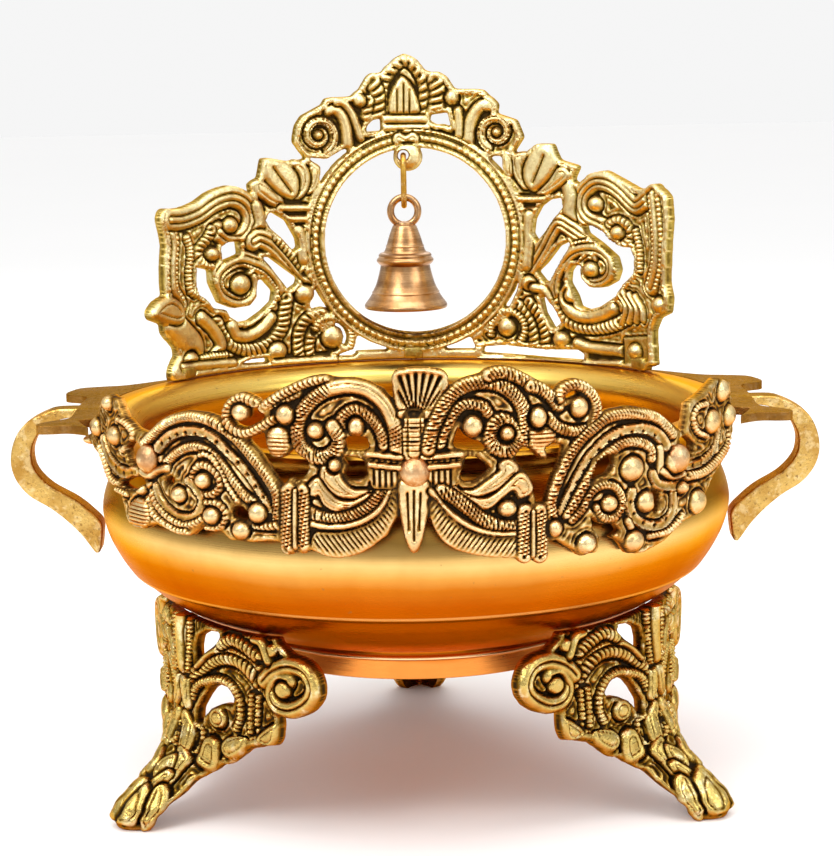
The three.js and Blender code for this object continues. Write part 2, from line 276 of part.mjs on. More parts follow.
// front panel pins and the spacer bushes behind the panel
["middle", "left", "right"].forEach((tag, i) => {
  const [deg, z] = PINS[i], d = bearing(deg, 1, 0);
  const neck = z > 150 ? 116.4 : 114.6;
  pieces["panel_pin_" + tag] = turned([[0, 109.2], [2.6, 109.2], [2.6, 110.4], [SCREW_R, 110.4], [SCREW_R, PANEL_R1 + 0.5], [5.6, PANEL_R1 + 0.5], [5.5, 134.2], [4.8, 136], [3.1, 137.4], [0, 138]], [0, 0, z], d, 14);
  const clear = lathe([[0, 140], [117, 140], [114.6, 147], [116, 151], [119.4, 154.2], [119.4, 160], [0, 160]], 48);
  const tube = turned([[HOLE_R, neck - 3], [2.4, neck - 3], [2.4, PANEL_R0 - 1.5 - GAP], [HOLE_R, PANEL_R0 - 1.5 - GAP], [HOLE_R, neck - 3]], [0, 0, z], d, 10);
  pieces["panel_bush_" + tag] = cut(tube, clear);
});
// hanging link: an oval of wire seen edge-on from the front
{
  const pts = [], top = LINK_TOP_Z - LINK_HALF_Y, bottom = LINK_BOTTOM_Z + LINK_HALF_Y;
  for (let i = 0; i <= 6; i++) pts.push(new THREE.Vector3(BELL_X, BELL_Y + LINK_HALF_Y * Math.cos((Math.PI * i) / 6), top + LINK_HALF_Y * Math.sin((Math.PI * i) / 6)));
  for (let i = 1; i < 4; i++) pts.push(new THREE.Vector3(BELL_X, BELL_Y - LINK_HALF_Y, top + ((bottom - top) * i) / 4));
  for (let i = 0; i <= 6; i++) pts.push(new THREE.Vector3(BELL_X, BELL_Y - LINK_HALF_Y * Math.cos((Math.PI * i) / 6), bottom - LINK_HALF_Y * Math.sin((Math.PI * i) / 6)));
  for (let i = 1; i < 4; i++) pts.push(new THREE.Vector3(BELL_X, BELL_Y + LINK_HALF_Y, bottom + ((top - bottom) * i) / 4));
  pieces.hanging_link = toSolid(new THREE.TubeGeometry(new THREE.CatmullRomCurve3(pts, true), 24, LINK_WIRE_R, 7, true));
}
// bell
const BELL = [
  [0, 219.5], [4.8, 219.5], [5.4, 218.6], [6.6, 215.5], [8, 210.6], [9.5, 206.3], [12.2, 206], [12.9, 204.4], [12.9, 202.6], [11, 200.9], [12.7, 194.4], [14.4, 189.6], [16.6, 185.6], [19, 182.2], [19, 181],
  [17.4, 181], [15, 185], [11.6, 193], [8.8, 202], [7, 209], [5, 213], [0, 214.8],
].reverse();
{
  const body = lathe(BELL, 20).translate([BELL_X, BELL_Y, 0]);
  const ring = new THREE.Shape().absellipse(0, 0, 8.45, 8, 0, 2 * Math.PI);
  const hole = new THREE.Path();
  hole.absellipse(0, -0.6, 5, 4.6, 0, 2 * Math.PI, true);
  ring.holes.push(hole);
  const loop = new THREE.ExtrudeGeometry(ring, { depth: 1.6, curveSegments: 9, bevelEnabled: true, bevelThickness: 0.7, bevelSize: 0.7, bevelOffset: -0.7, bevelSegments: 1 });
  loop.rotateX(Math.PI / 2);
  loop.translate(BELL_X, BELL_Y + 0.8, 225.4);
  const foot = bar([BELL_X, BELL_Y, 216.5], [BELL_X, BELL_Y, 220.4], 4.8, 16, 3.6);
  pieces.bell = cut(join(body, toSolid(loop), foot), bar([BELL_X, BELL_Y, 212], [BELL_X, BELL_Y, 218.2], 1.15, 12));
}
// clapper: a staple let into the crown of the bell, and the clapper hung from it
{
  const staple = new THREE.TorusGeometry(2.2, 0.6, 6, 12);
  staple.rotateX(Math.PI / 2);
  staple.translate(BELL_X, BELL_Y, 211.2);
  pieces.clapper_staple = join(toSolid(staple), bar([BELL_X, BELL_Y, 213.2], [BELL_X, BELL_Y, 217.8], 0.8, 10));
  const ring = new THREE.TorusGeometry(2, 0.6, 6, 12);
  ring.rotateY(Math.PI / 2);
  ring.translate(BELL_X, BELL_Y, 208.5);
  const drop = turned([[0, 0], [1.6, 0.4], [3.2, 2.2], [3.6, 4.2], [3, 6.4], [1.4, 8.2], [0.9, 9.4], [0.9, 20.2], [0, 20.2]], [BELL_X, BELL_Y, 186.4], [0, 0, 1], 12);
  pieces.clapper = join(toSolid(ring), drop);
}

// ---- the group ----
const BRASS = { color: 0xc9a24a, roughness: 0.35, metalness: 1 }, ANTIQUE = { color: 0xb08d4c, roughness: 0.45, metalness: 1 }, BRONZE = { color: 0xb88a5e, roughness: 0.4, metalness: 1 }, STEEL = { color: 0x8f8a80, roughness: 0.5, metalness: 1 };
const finish = (name) => (/^(front_panel|arch_panel|leg_(left|right|rear)$|panel_pin)/.test(name) ? ANTIQUE : /^(bell|clapper)/.test(name) ? BRONZE : /screw/.test(name) ? STEEL : BRASS);
const root = new THREE.Group();
root.name = "urli";
for (const [name, solid] of Object.entries(pieces)) {
  const mesh = new THREE.Mesh(toGeometry(solid), new THREE.MeshStandardMaterial(finish(name)));
  mesh.name = name;
  root.add(mesh);
}
export default root;
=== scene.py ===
# Brass urli bowl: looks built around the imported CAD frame. Metres, same frame as the CAD: +Z up, front towards -Y.
import math

import bmesh
import bpy
import numpy as np
from mathutils import Matrix, Vector


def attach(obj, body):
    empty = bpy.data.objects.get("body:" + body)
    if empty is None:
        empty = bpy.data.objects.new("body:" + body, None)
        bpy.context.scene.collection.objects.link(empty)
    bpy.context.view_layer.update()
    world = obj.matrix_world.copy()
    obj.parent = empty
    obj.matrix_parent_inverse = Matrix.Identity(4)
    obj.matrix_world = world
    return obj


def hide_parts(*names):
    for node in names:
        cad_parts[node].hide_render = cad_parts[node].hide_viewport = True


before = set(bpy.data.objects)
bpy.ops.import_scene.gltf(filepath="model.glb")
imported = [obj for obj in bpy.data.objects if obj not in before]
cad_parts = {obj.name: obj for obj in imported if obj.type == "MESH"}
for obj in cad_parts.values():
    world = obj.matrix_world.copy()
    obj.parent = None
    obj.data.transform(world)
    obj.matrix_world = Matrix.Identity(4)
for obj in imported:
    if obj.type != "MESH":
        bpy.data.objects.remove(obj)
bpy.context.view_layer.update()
MM = 0.001

# ------------------------------------------------------------------ casting outlines
# Each entry: kind, points [u, v] in mm on the casting's face, options. u runs round the cylinder, v is the height.
WORLD = [(0.0, (0.60, 0.59, 0.58)), (0.47, (0.46, 0.455, 0.45)), (0.53, (0.50, 0.497, 0.493)), (0.64, (0.84, 0.84, 0.84)), (1.0, (1.1, 1.1, 1.1))]
WORLD_STRENGTH = 1.0
BACKDROP = (0.88, 0.96, (0.92, 0.92, 0.92))
LIGHTS = [
    ("key_soft", (-0.8, -1.0, 1.2), (0, 0, 0.12), 0.7, 11.0, (1.0, 0.985, 0.96)),
    ("fill_soft", (1.0, -0.9, 0.8), (0, 0, 0.12), 0.7, 5.0, (1.0, 0.985, 0.97)),
    ("top_soft", (0.0, -0.35, 1.35), (0, 0, 0.1), 1.5, 9.0, (1.0, 1.0, 1.0), 0.7),
    ("back_soft", (0.2, 1.3, 1.1), (0, 0, 0.1), 1.0, 4.0, (1.0, 1.0, 1.0)),
]

FRONT = [
    ["poly",[[-149.9,169.4],[-135.2,171.3],[-132.6,168],[-129,163.8],[-122.1,161.1],[-113.9,160],[-109.4,163],[-102.1,166.8],[-91.8,170.3],[-81.2,171.2],[-72.7,169.3],[-65.8,164.9],[-58.7,158.4],[-53.5,151.8],[-48.9,145.2],[-49.5,125.4],[-55.4,125.5],[-63.8,124.4],[-72,124.7],[-76.7,128.7],[-83,129.6],[-89.8,124.8],[-98.3,124.8],[-110.9,126.1],[-118.1,123],[-129.1,123.4],[-133.9,133.1],[-142.3,138],[-153.9,145.2],[-164.1,147.3],[-172.3,149.7],[-167.7,155.8],[-155,163.5]],{"h":0.3}],
    ["hole",[[-125.5,155.5],[-121,156.3],[-116.5,154.1],[-116.4,149],[-121.2,146.8],[-127.1,148.6],[-128.9,152.5]],{}],
    ["hole",[[-123.4,142.9],[-116.8,142.8],[-115.1,140.9],[-119.9,138.2],[-126.9,137.2],[-134.6,138.2]],{}],
    ["hole",[[-103.4,143.4],[-100.2,145.8],[-97.3,145.2],[-98.9,143],[-101.9,142.1]],{}],
    ["hole",[[-69.1,137.4],[-66.2,137.6],[-62.9,135.4],[-63.5,132.4],[-67.6,132.6],[-70.5,133.8]],{}],
    ["rope",[[-154.2,149.9],[-148.8,145.4],[-143.5,139.9],[-138.3,138.1],[-129,138],[-121.7,139]],{"w":1.86}],
    ["rope",[[-137.3,135.7],[-128.1,135]],{"w":1.69}],
    ["band",[[-148.7,153.3],[-144.1,147.7],[-135.9,144],[-127.5,143.1],[-121.3,144.7]],{"w":3.69,"d":[[-144,148.2],[-137.1,144.3],[-130.2,143],[-123.8,144.1]]}],
    ["bead",[[-134.2,163.2],[-128.1,162.6],[-123.1,160.4],[-121.8,158.5],[-123.4,156.3],[-126.7,153.6],[-131.7,151.5]],{"w":1.98}],
    ["rope",[[-115,156.3],[-108.8,160.6],[-101.4,165.4],[-91.8,168.6],[-83.2,169],[-75.8,167.1],[-69.3,163.7],[-64.3,159.6],[-59.4,154.4],[-55.2,149.3],[-52.1,144.5],[-51.2,140.2],[-51.5,131.2]],{"w":2.68,"p":1.39}],
    ["band",[[-105.8,155.8],[-99.4,160.6],[-92.1,163.3],[-84,164],[-77.2,162.1],[-71.9,158],[-66.8,153.9],[-62.4,149.3],[-59.2,145.1],[-56.6,141.3],[-54,137]],{"w":3.58,"w2":1.69,"d":[[-103.8,157.7],[-99.2,159.8],[-95.3,161.8],[-90.8,162.9],[-86,162.8],[-80.9,161.8],[-76,160.7],[-71.3,157.6],[-66.8,153.9],[-62.9,149.8],[-59.7,145.5],[-56.5,141.8]]}],
    ["rope",[[-101.4,150.8],[-96.8,154.3],[-91,157.1],[-85.6,158.1],[-80.5,156.8],[-75.7,153.8],[-71.6,149.6],[-68.2,145.9],[-64.9,142.2],[-61,139.5]],{"w":2.5,"p":1.4}],
    ["bead",[[-84.4,155],[-81.2,155.8],[-77.5,154.1],[-74,149.4],[-71.2,144.7],[-69,141.9],[-66.8,139.1]],{"w":2}],
    ["plain",[[-116.6,145.4],[-112.3,144.4],[-106.3,147.2],[-100.8,148.8]],{"w":2.15}],
    ["rope",[[-88.2,146.1],[-86.7,149.3],[-83.9,151.6],[-79.5,151],[-75.9,148.3],[-75.1,144.4],[-78.7,141.1],[-83.1,140.6],[-86.4,141.3]],{"w":2.11}],
    ["band",[[-108.3,140.8],[-105.4,136.1],[-99.4,132.2],[-93.7,130.9],[-87.5,132.1],[-84,136.5],[-84.4,140.5],[-88.2,144.1],[-90.2,144.9]],{"w":2.54}],
    ["rope",[[-110.9,138.4],[-108.7,134.6],[-104.1,131.2],[-98.1,128.8],[-92.4,128],[-86.9,129.7],[-82.8,132.1]],{"w":1.84}],
    ["rope",[[-113.7,135.5],[-110.6,130.3],[-104.3,127.5],[-96.8,125.5],[-91.2,125.6]],{"w":1.85}],
    ["rope",[[-60.2,131.1],[-55.3,131],[-50.9,131.8]],{"w":2.19}],
    ["rope",[[-82,137.7],[-76.3,137.8],[-72.8,134.6],[-74.2,130.5],[-77.3,128.7],[-81.7,128.5]],{"w":1.81}],
    ["petal",[[-124.2,132.4],[-118.7,134.8],[-113.8,133.4],[-112.4,129],[-115.3,125],[-119.5,123.6],[-124.3,124.1],[-126.4,128]],{"rib":1}],
    ["rope",[[-56,174.2],[-52.2,176.3],[-47.9,178],[-41.7,180.6]],{"w":2.43}],
    ["rope",[[-59.2,176],[-64.8,177.7],[-70.1,174.4],[-71.5,169.4],[-68.1,165.7],[-62.4,165.1],[-56.2,167.9],[-51.3,170.5]],{"w":2.46}],
    ["petal",[[-53.4,165.1],[-50.4,165.7],[-47.5,165.3],[-46.6,161.5],[-48,158],[-50.7,156.6],[-53.3,158.2],[-54.5,161.6]],{"rib":1}],
    ["boss",[[-156.9,157.1]],{"r":[4.24,3.79]}],
    ["boss",[[-137.2,156.5]],{"r":[4.24,3.79]}],
    ["boss",[[-170.6,150]],{"r":[2.19,1.96]}],
    ["boss",[[-111.7,151.1]],{"r":[4.31,3.85]}],
    ["boss",[[-82.9,145.7]],{"r":[3.38,3.01]}],
    ["boss",[[-95,139.3]],{"r":[3.47,3.1]}],
    ["boss",[[-117.1,138.6]],{"r":[2.61,2.33]}],
    ["boss",[[-79.3,133]],{"r":[3.67,3.27]}],
    ["boss",[[-59.2,135.7]],{"r":[3.78,3.73]}],
    ["boss",[[-66.3,128.7]],{"r":[3.64,3.25]}],
    ["boss",[[-65,172.3]],{"r":[3.58,3.19]}],
    ["boss",[[-46.8,172.4]],{"r":[3.65,3.89]}],
    ["boss",[[-141.8,168.4]],{"r":[3.42,3.05]}],
    ["poly",[[-54,178.7],[-47.7,181.3],[-37.6,186.3],[-30.8,186.4],[-18.5,185.6],[-11.1,182.3],[-6.52,176.6],[-4.85,167.2],[-4.52,160.6],[-4.16,154.9],[-5.28,145.4],[-6.4,136.4],[-10.3,129.3],[-17,124.5],[-23.7,121.7],[-30.5,121],[-35.4,122.1],[-40.3,123.8],[-49.8,123.3],[-49.1,145],[-46.1,149.5],[-43.4,155.3],[-45.9,157.1],[-51.6,156.9],[-55.6,163.4],[-55.3,172]],{"h":0.3}],
    ["hole",[[-24.9,164.4],[-21.3,165.6],[-16.8,164.4],[-16.2,160.7],[-19.1,159.9],[-24.7,160.1]],{}],
    ["hole",[[-26.5,157.7],[-21.9,157.8],[-18.2,156.4],[-17.1,151.2],[-19.3,149.3],[-24.1,149.2],[-25.9,151.1],[-23.9,154]],{}],
    ["hole",[[-47.5,157.1],[-44.3,160.1],[-42.6,157.8],[-38.9,155.7],[-38.5,152.7],[-41.1,149.2],[-43.6,148.2],[-46.6,149.9],[-48.6,152.7]],{}],
    ["rope",[[-54.6,175.8],[-53,176.8],[-47.8,179.9],[-42.7,182.4],[-37.6,184.4],[-32.8,185.2],[-30.8,185]],{"w":2.36}],
    ["band",[[-33.6,152.8],[-33.7,149.9],[-31.8,146.7],[-28,143.9],[-24.2,143],[-19.4,143.5],[-16.1,145.2]],{"w":0}],
    ["petal",[[-33.6,153.3],[-33.9,149.9],[-31.8,146.4],[-28,143.7],[-24.2,142.8],[-19.4,143.4],[-16.1,145.1],[-22.2,145.9],[-25.5,148.2],[-27.3,151.5],[-26.8,155.3],[-28.6,157.4],[-32,156.4]],{"rib":0}],
    ["petal",[[-38.7,146.9],[-36.1,149.4],[-34.2,149],[-31.4,145.2],[-27.6,142],[-22.3,141.6],[-16.6,144.3],[-15.7,143.3],[-19.5,140.2],[-24.3,138.2],[-29.1,138.1],[-33,140.4],[-34.8,144.2],[-36.3,143.2],[-38.3,144.1]],{"rib":0}],
    ["rope",[[-39,136.8],[-34.1,134.9],[-28.2,134.8],[-22.4,136.3],[-16.7,139.3],[-12.3,143.6],[-9.94,146.4]],{"w":3.63,"p":1.43}],
    ["plain",[[-39.1,133.2],[-34.1,132.2],[-29.3,132.1],[-24.4,132.7],[-19.6,134.2],[-15.3,136.7],[-12,139.8],[-8.56,145.5]],{"w":1.72}],
    ["hatch",[[-37.8,124.9],[-36.7,129.2],[-29.3,129.5],[-22.1,131],[-14.9,134.4],[-10.1,139.7],[-7.12,146.9],[-6.36,143.3],[-7.71,136.4],[-11.1,130.2],[-17,124.9],[-23.7,121.8],[-30.5,121.2],[-35.4,122.5]],{"ang":-52,"p":1.63}],
    ["rope",[[-11,162.1],[-11.9,166.3],[-14.1,170.1],[-16.9,172.9],[-20.6,174.8],[-23.9,173.8],[-26.4,171],[-25.5,167.2],[-22.7,165.6]],{"w":2.74,"p":1.42}],
    ["scroll",[[-6.4,159.7],[-6.71,167.2],[-8.46,172.9],[-11.6,178.1],[-16.7,181.9],[-23.2,183.2],[-30.4,181.8],[-36.4,178.3],[-40.9,173],[-42.6,166.8],[-41.3,161.1],[-36.9,157.9],[-32,157.6],[-28.1,160.5],[-27,164.3],[-29.3,168.6]],{"w":3.97,"p":1.42,"ribs":[[0,0.12],[0.42,1]]}],
    ["boss",[[-35.7,167]],{"r":[3.19,3.08]}],
    ["boss",[[-20.7,168.7]],{"r":[2.93,3.54]}],
    ["boss",[[-47,172.3]],{"r":[3.57,3.71]}],
    ["boss",[[-28.9,154.6]],{"r":[2.32,2.47]}],
    ["petal",[[-52.9,166.4],[-49.7,167.5],[-46.7,166.2],[-45.8,161.9],[-47.4,158.5],[-50,156.9],[-52.8,158.2],[-54,162]],{"rib":1}],
    ["rope",[[-46.5,144.7],[-47.2,123.9]],{"w":4.15,"p":1.45}],
    ["rope",[[-41,144.9],[-41.6,124.2]],{"w":3.46,"p":1.44}],
    ["plain",[[-43.8,144.8],[-44.4,124.1]],{"w":1.25}],
    ["poly",[[-7,188.2],[-4.68,189.2],[2.41,189.5],[9.49,188.9],[12,187.4],[10.8,181.4],[7.83,175.3],[3.5,171.5],[3.27,159.2],[5.3,152.7],[3.74,145.4],[2.76,130.9],[-0.97,122.9],[-4.4,131],[-5.19,145.6],[-6.11,152.9],[-3.84,159.4],[-3.6,171.6],[-6.37,175.6],[-7.67,181.8]],{"h":0.35}],
    ["fan",[[-4.27,174.2],[6.03,174],[11.7,183.1],[11.2,187.1],[7,188.6],[2.05,189.3],[-2.91,188.8],[-6.84,187.5],[-7.1,183.2]],{"c":[0.79,169]}],
    ["plain",[[-4.64,173.1],[6.37,172.9]],{"w":1.98}],
    ["ladder",[[-0.05,171.6],[-0.29,159.3]],{"w":6.13,"p":1.66}],
    ["hatch",[[-18.1,160.2],[-5.5,158.2],[-4.61,155.9],[-4.99,148.3],[-6.66,146.9],[-14.6,146.7],[-16,150.7],[-17,156.9]],{"ang":90,"p":2.1}],
    ["hatch",[[2.92,158.1],[8.98,157.9],[17.9,160],[16.9,156.2],[14.5,153],[13.5,149.2],[13.9,146.4],[5.06,147.1],[2.74,148.1]],{"ang":90,"p":2.1}],
    ["plain",[[-16.9,158.8],[-5.04,157.5]],{"w":1.5}],
    ["plain",[[2.91,157.4],[16.7,158.1]],{"w":1.5}],
    ["plain",[[-16.1,155],[-5.12,153.7]],{"w":1.5}],
    ["plain",[[2.84,153.6],[15.6,154.4]],{"w":1.5}],
    ["petal",[[-5.88,146.7],[-4.4,149.2],[-0.46,149.9],[3.45,149.1],[4.83,146.5],[3.96,138.2],[2.76,130.9],[0.86,125.1],[-0.97,122.9],[-2.72,125.2],[-4.4,131],[-5.33,138.3]],{"rib":0,"lines":[[[-0.55,145.6],[-0.89,127.3]],[[-2.88,144.9],[-2.61,131]],[[1.76,144.8],[0.97,130.9]]]}],
    ["poly",[[2.97,160.4],[4.5,168],[7.88,174.9],[12.7,181.8],[18.8,184.9],[26.9,186.4],[30.7,188.1],[35.6,187.4],[41.4,184.2],[55.7,174.6],[55.5,161.3],[51.3,154],[44.1,154.6],[40.1,155.8],[41,146.2],[44,141.2],[43.7,119.5],[37.7,119.1],[27.9,119.6],[20.2,121.2],[13.1,124],[8.02,128.9],[5.53,134.3],[4.99,143.3],[2.74,148.1],[2.91,157.6]],{"h":0.3}],
    ["hole",[[15.5,168.1],[18,164.7],[20.8,163.1],[23.6,162.1],[26,159.6],[24.6,158.7],[18.9,159.4],[14.6,160.1],[13.7,162]],{}],
    ["hole",[[18.4,157.1],[21.7,156.9],[24.5,154.9],[27.3,152.4],[24.4,149.7],[21.1,147.9],[17.7,147.6],[15.9,149.6],[16.9,152.9]],{}],
    ["hole",[[39.1,159.7],[42.1,158.6],[46.1,154.4],[49.2,153.2],[48.1,149],[44,147.9],[41,149.6],[37.6,153.2],[36.1,156.1]],{}],
    ["rope",[[9.06,162.2],[10.5,166.8],[13.9,172.4],[17.2,175.6],[21,175.9],[24.8,174.8],[26.7,171.8]],{"w":2.83,"p":1.41}],
    ["rope",[[4.83,160.4],[5.86,166.1],[8.29,171.6],[12.1,178.1],[17.3,182.1],[24,183.7],[30.6,182.5],[35.9,178.9],[39.3,173.9],[40.2,168.7],[39.7,162.5],[36.2,159],[32.3,158.3],[28.4,160.4],[27,164.2],[28.5,168.4],[31.4,169.7],[34.3,168.1],[35.8,164.7]],{"w":3.59,"p":1.42}],
    ["rope",[[26.9,185.9],[30.7,186.9],[35,186],[40.4,183.3],[46.4,179.6],[51.5,175.9],[53.9,173.8]],{"w":3.21,"p":1.41}],
    ["boss",[[33.3,164.8]],{"r":[2.68,2.75]}],
    ["boss",[[20.8,168.1]],{"r":[3.69,4.01]}],
    ["boss",[[44.8,169.8]],{"r":[3.54,3.7]}],
    ["boss",[[33.6,152]],{"r":[2.44,2.57]}],
    ["petal",[[42,165.2],[46.5,165.8],[51.1,164.5],[51.3,160.2],[50.5,157.4],[46.6,155.3],[42.9,158],[41.9,160.9]],{"rib":1}],
    ["petal",[[16.8,144.6],[20.5,144.7],[24.4,146.8],[28.3,149.5],[30.7,151.7],[30.2,153.6],[33.2,155.3],[36.6,153.2],[36.8,150.3],[34.1,148.2],[28.7,144.7],[22.4,142.7],[19.1,143.1]],{"rib":0}],
    ["petal",[[13.9,146.4],[18.1,142.9],[24.3,141.6],[28.7,143.2],[33.1,146.8],[37,149.9],[40.5,148.7],[42.5,144.7],[40.9,141.9],[37.4,141.2],[36.5,143.2],[35,144.3],[31.1,141.7],[27.1,138.6],[24.2,137.8],[20.5,139.9],[16.7,142.9]],{"rib":0}],
    ["boss",[[33,137.5]],{"r":[3.54,3.16]}],
    ["rope",[[9.23,145.1],[13.4,142.6],[19,138.1],[24.2,133.9],[29.9,131.2],[36.8,130.2]],{"w":3.53,"p":1.43}],
    ["plain",[[5.49,145.2],[9.6,139.4],[16.6,133.4],[24.1,129.4],[30.4,128.1],[36.8,127.8]],{"w":1.72}],
    ["hatch",[[5.44,142.4],[5.77,134.7],[8.02,129.4],[13.1,124.4],[20.2,121.7],[27.9,120.3],[37.7,119.8],[37.2,125.9],[27.9,126.9],[18.9,129.8],[11.9,134.9]],{"ang":232,"p":1.63}],
    ["rope",[[39.8,135.8],[39.6,119.7]],{"w":4.14,"p":1.44}],
    ["rope",[[45.8,135.3],[45.6,119.1]],{"w":4.05,"p":1.45}],
    ["plain",[[42.6,135.6],[42.4,119.4]],{"w":1.16}],
    ["boss",[[50.8,129]],{"r":[2.78,3.86]}],
    ["poly",[[41.2,182.3],[46.6,180.9],[53.2,174.3],[58.9,175.9],[66,177.8],[69,173.4],[67.1,166.4],[74.5,169.8],[83.7,170.4],[94.3,168.1],[106.1,161.9],[114.9,155.9],[117.8,167.3],[129.3,170],[140.6,173.8],[155.4,170.7],[157.6,161.5],[159.9,150.1],[151.9,142.5],[136.7,136.3],[129.4,129.9],[129.4,124.5],[119.7,123.4],[113,122.4],[102.7,117.2],[90.4,114.3],[83.4,115.3],[79.4,120.7],[70.4,125],[69.1,117.8],[61.9,117.1],[58.4,120.1],[52.7,123.9],[48.8,124.3],[47.2,133.7],[48.9,141.3],[51.8,148.8],[49.1,158.3],[44.2,163.8],[41.1,170.1]],{"h":0.3}],
    ["hole",[[47.5,158.4],[50.8,160.2],[55.3,158.8],[54.1,153.7],[51.8,148.8],[49.6,152.1]],{}],
    ["hole",[[95.3,137.7],[99.2,136.4],[99.9,132.6],[98.3,128.3],[95.3,130.1],[94.6,134.4]],{}],
    ["hole",[[68.8,151.3],[73.2,153.4],[77,153.5],[77,149.3],[74.4,146.5],[68.7,145],[65.7,144.3]],{}],
    ["hole",[[111.3,154.9],[115.9,155.3],[121.2,151.8],[120.7,147.6],[114.9,146.8],[112.2,149.9]],{}],
    ["hole",[[66.2,131.3],[70.5,128.1],[76.8,127.3],[79.4,124.4],[74.2,122.4],[69.2,124.1],[66.8,127.5]],{}],
    ["rope",[[42.3,181.2],[46.6,179.9],[50.4,176.6],[53.2,172.8]],{"w":3.05,"p":1.52}],
    ["rope",[[49.2,169.5],[53.1,165.6],[58.8,163.6],[64.7,163.6],[67.7,165.3],[69.2,169.8],[68.3,174.5],[64.8,178.7],[60.1,180.4],[55.5,179.2],[53.5,176.1]],{"w":2.82,"p":1.54}],
    ["rope",[[107,157.1],[103.6,160.1],[97.3,164.6],[89.2,166.7],[80.3,167.7],[73.2,166.8],[68.3,164.2],[63.4,161.1],[58.7,156.4],[55.2,151.1],[52.3,145.1],[50,138.6],[50.5,133.4]],{"w":2.85,"p":1.45}],
    ["band",[[102.8,153.4],[98.1,158.2],[90.6,161.3],[82.3,161.7],[74.5,160],[68.8,156.4],[64.5,152.7],[61,147.9],[58,143.1],[55.1,138.2],[53.3,134.2]],{"w":3.74,"w2":1.66,"d":[[96.5,157.9],[90.6,160.2],[85,160.6],[79.6,159.9],[74.5,158.4],[70,155.8],[66.4,152.6],[63.3,148.7],[60.6,144.8],[58,141]]}],
    ["rope",[[95,149.7],[94.3,153.5],[89.2,156.2],[82.3,157],[76.3,155.1],[71.3,152],[66.9,147.8],[63.3,143],[59.7,137.7],[56.2,132.9]],{"w":2.6,"p":1.46}],
    ["rope",[[58.5,131.1],[62.6,134.8],[66.2,140.1],[70.6,142.2],[76.2,141.6],[79.5,138],[80.1,133.7],[76.8,130],[71.7,130.6],[68.7,134.6]],{"w":2.19,"p":1.46}],
    ["band",[[84.9,138.4],[83.5,133.8],[86.2,128.2],[92.7,124.6],[100.3,124],[106,127.3],[106.9,134.2]],{"w":3.08,"d":[[84.5,134.7],[85.9,130.1],[90.5,126],[96.4,124.3],[102.7,125.7],[106,130]]}],
    ["band",[[95,143.9],[98,139.7],[106.1,137.5],[113.1,138]],{"w":2.98}],
    ["plain",[[99.2,152.8],[99.2,144.3]],{"w":2.12}],
    ["plain",[[100.4,144.2],[106.1,141.2],[113.1,141.2]],{"w":1.92}],
    ["bead",[[92.6,120.3],[101.9,120.5],[109.5,123],[113,126.2]],{"w":2.25}],
    ["plain",[[82.8,127.6],[85.8,122.4]],{"w":1.9}],
    ["rope",[[151.8,151.4],[150.1,146.2],[140.7,142.2],[128.2,139.4],[116.8,139.6]],{"w":2.62}],
    ["band",[[140.7,153.2],[136.7,147.2],[127.1,143.9],[115.9,143.5]],{"w":2.49,"d":[[139.3,150.1],[134.1,145.5],[126,143.5],[119.7,143.4]]}],
    ["bead",[[130.4,165.3],[122.8,165],[119.5,161.2],[122.8,155.9],[130.5,152.8]],{"w":1.94}],
    ["boss",[[45.1,169.8]],{"r":[3.26,3.97]}],
    ["boss",[[61.5,172.1]],{"r":[3.51,3.84]}],
    ["boss",[[84.9,147]],{"r":[5.4,4.82]}],
    ["boss",[[108.6,146.7]],{"r":[5.49,4.9]}],
    ["boss",[[74,135.3]],{"r":[3.51,3.14]}],
    ["boss",[[92,133.7]],{"r":[4.39,4.13]}],
    ["boss",[[112.2,136]],{"r":[2.76,2.47]}],
    ["boss",[[122.8,128.9]],{"r":[5.35,4.77]}],
    ["boss",[[85.8,119.8]],{"r":[4.45,3.97]}],
    ["boss",[[64,121.6]],{"r":[3.95,3.76]}],
    ["boss",[[51.3,128.7]],{"r":[2.69,3.11]}],
    ["boss",[[144.3,168.4]],{"r":[5.01,4.47]}],
    ["boss",[[151.8,157.7]],{"r":[4.94,4.41]}],
    ["boss",[[134.7,157.9]],{"r":[5.35,4.78]}],
]

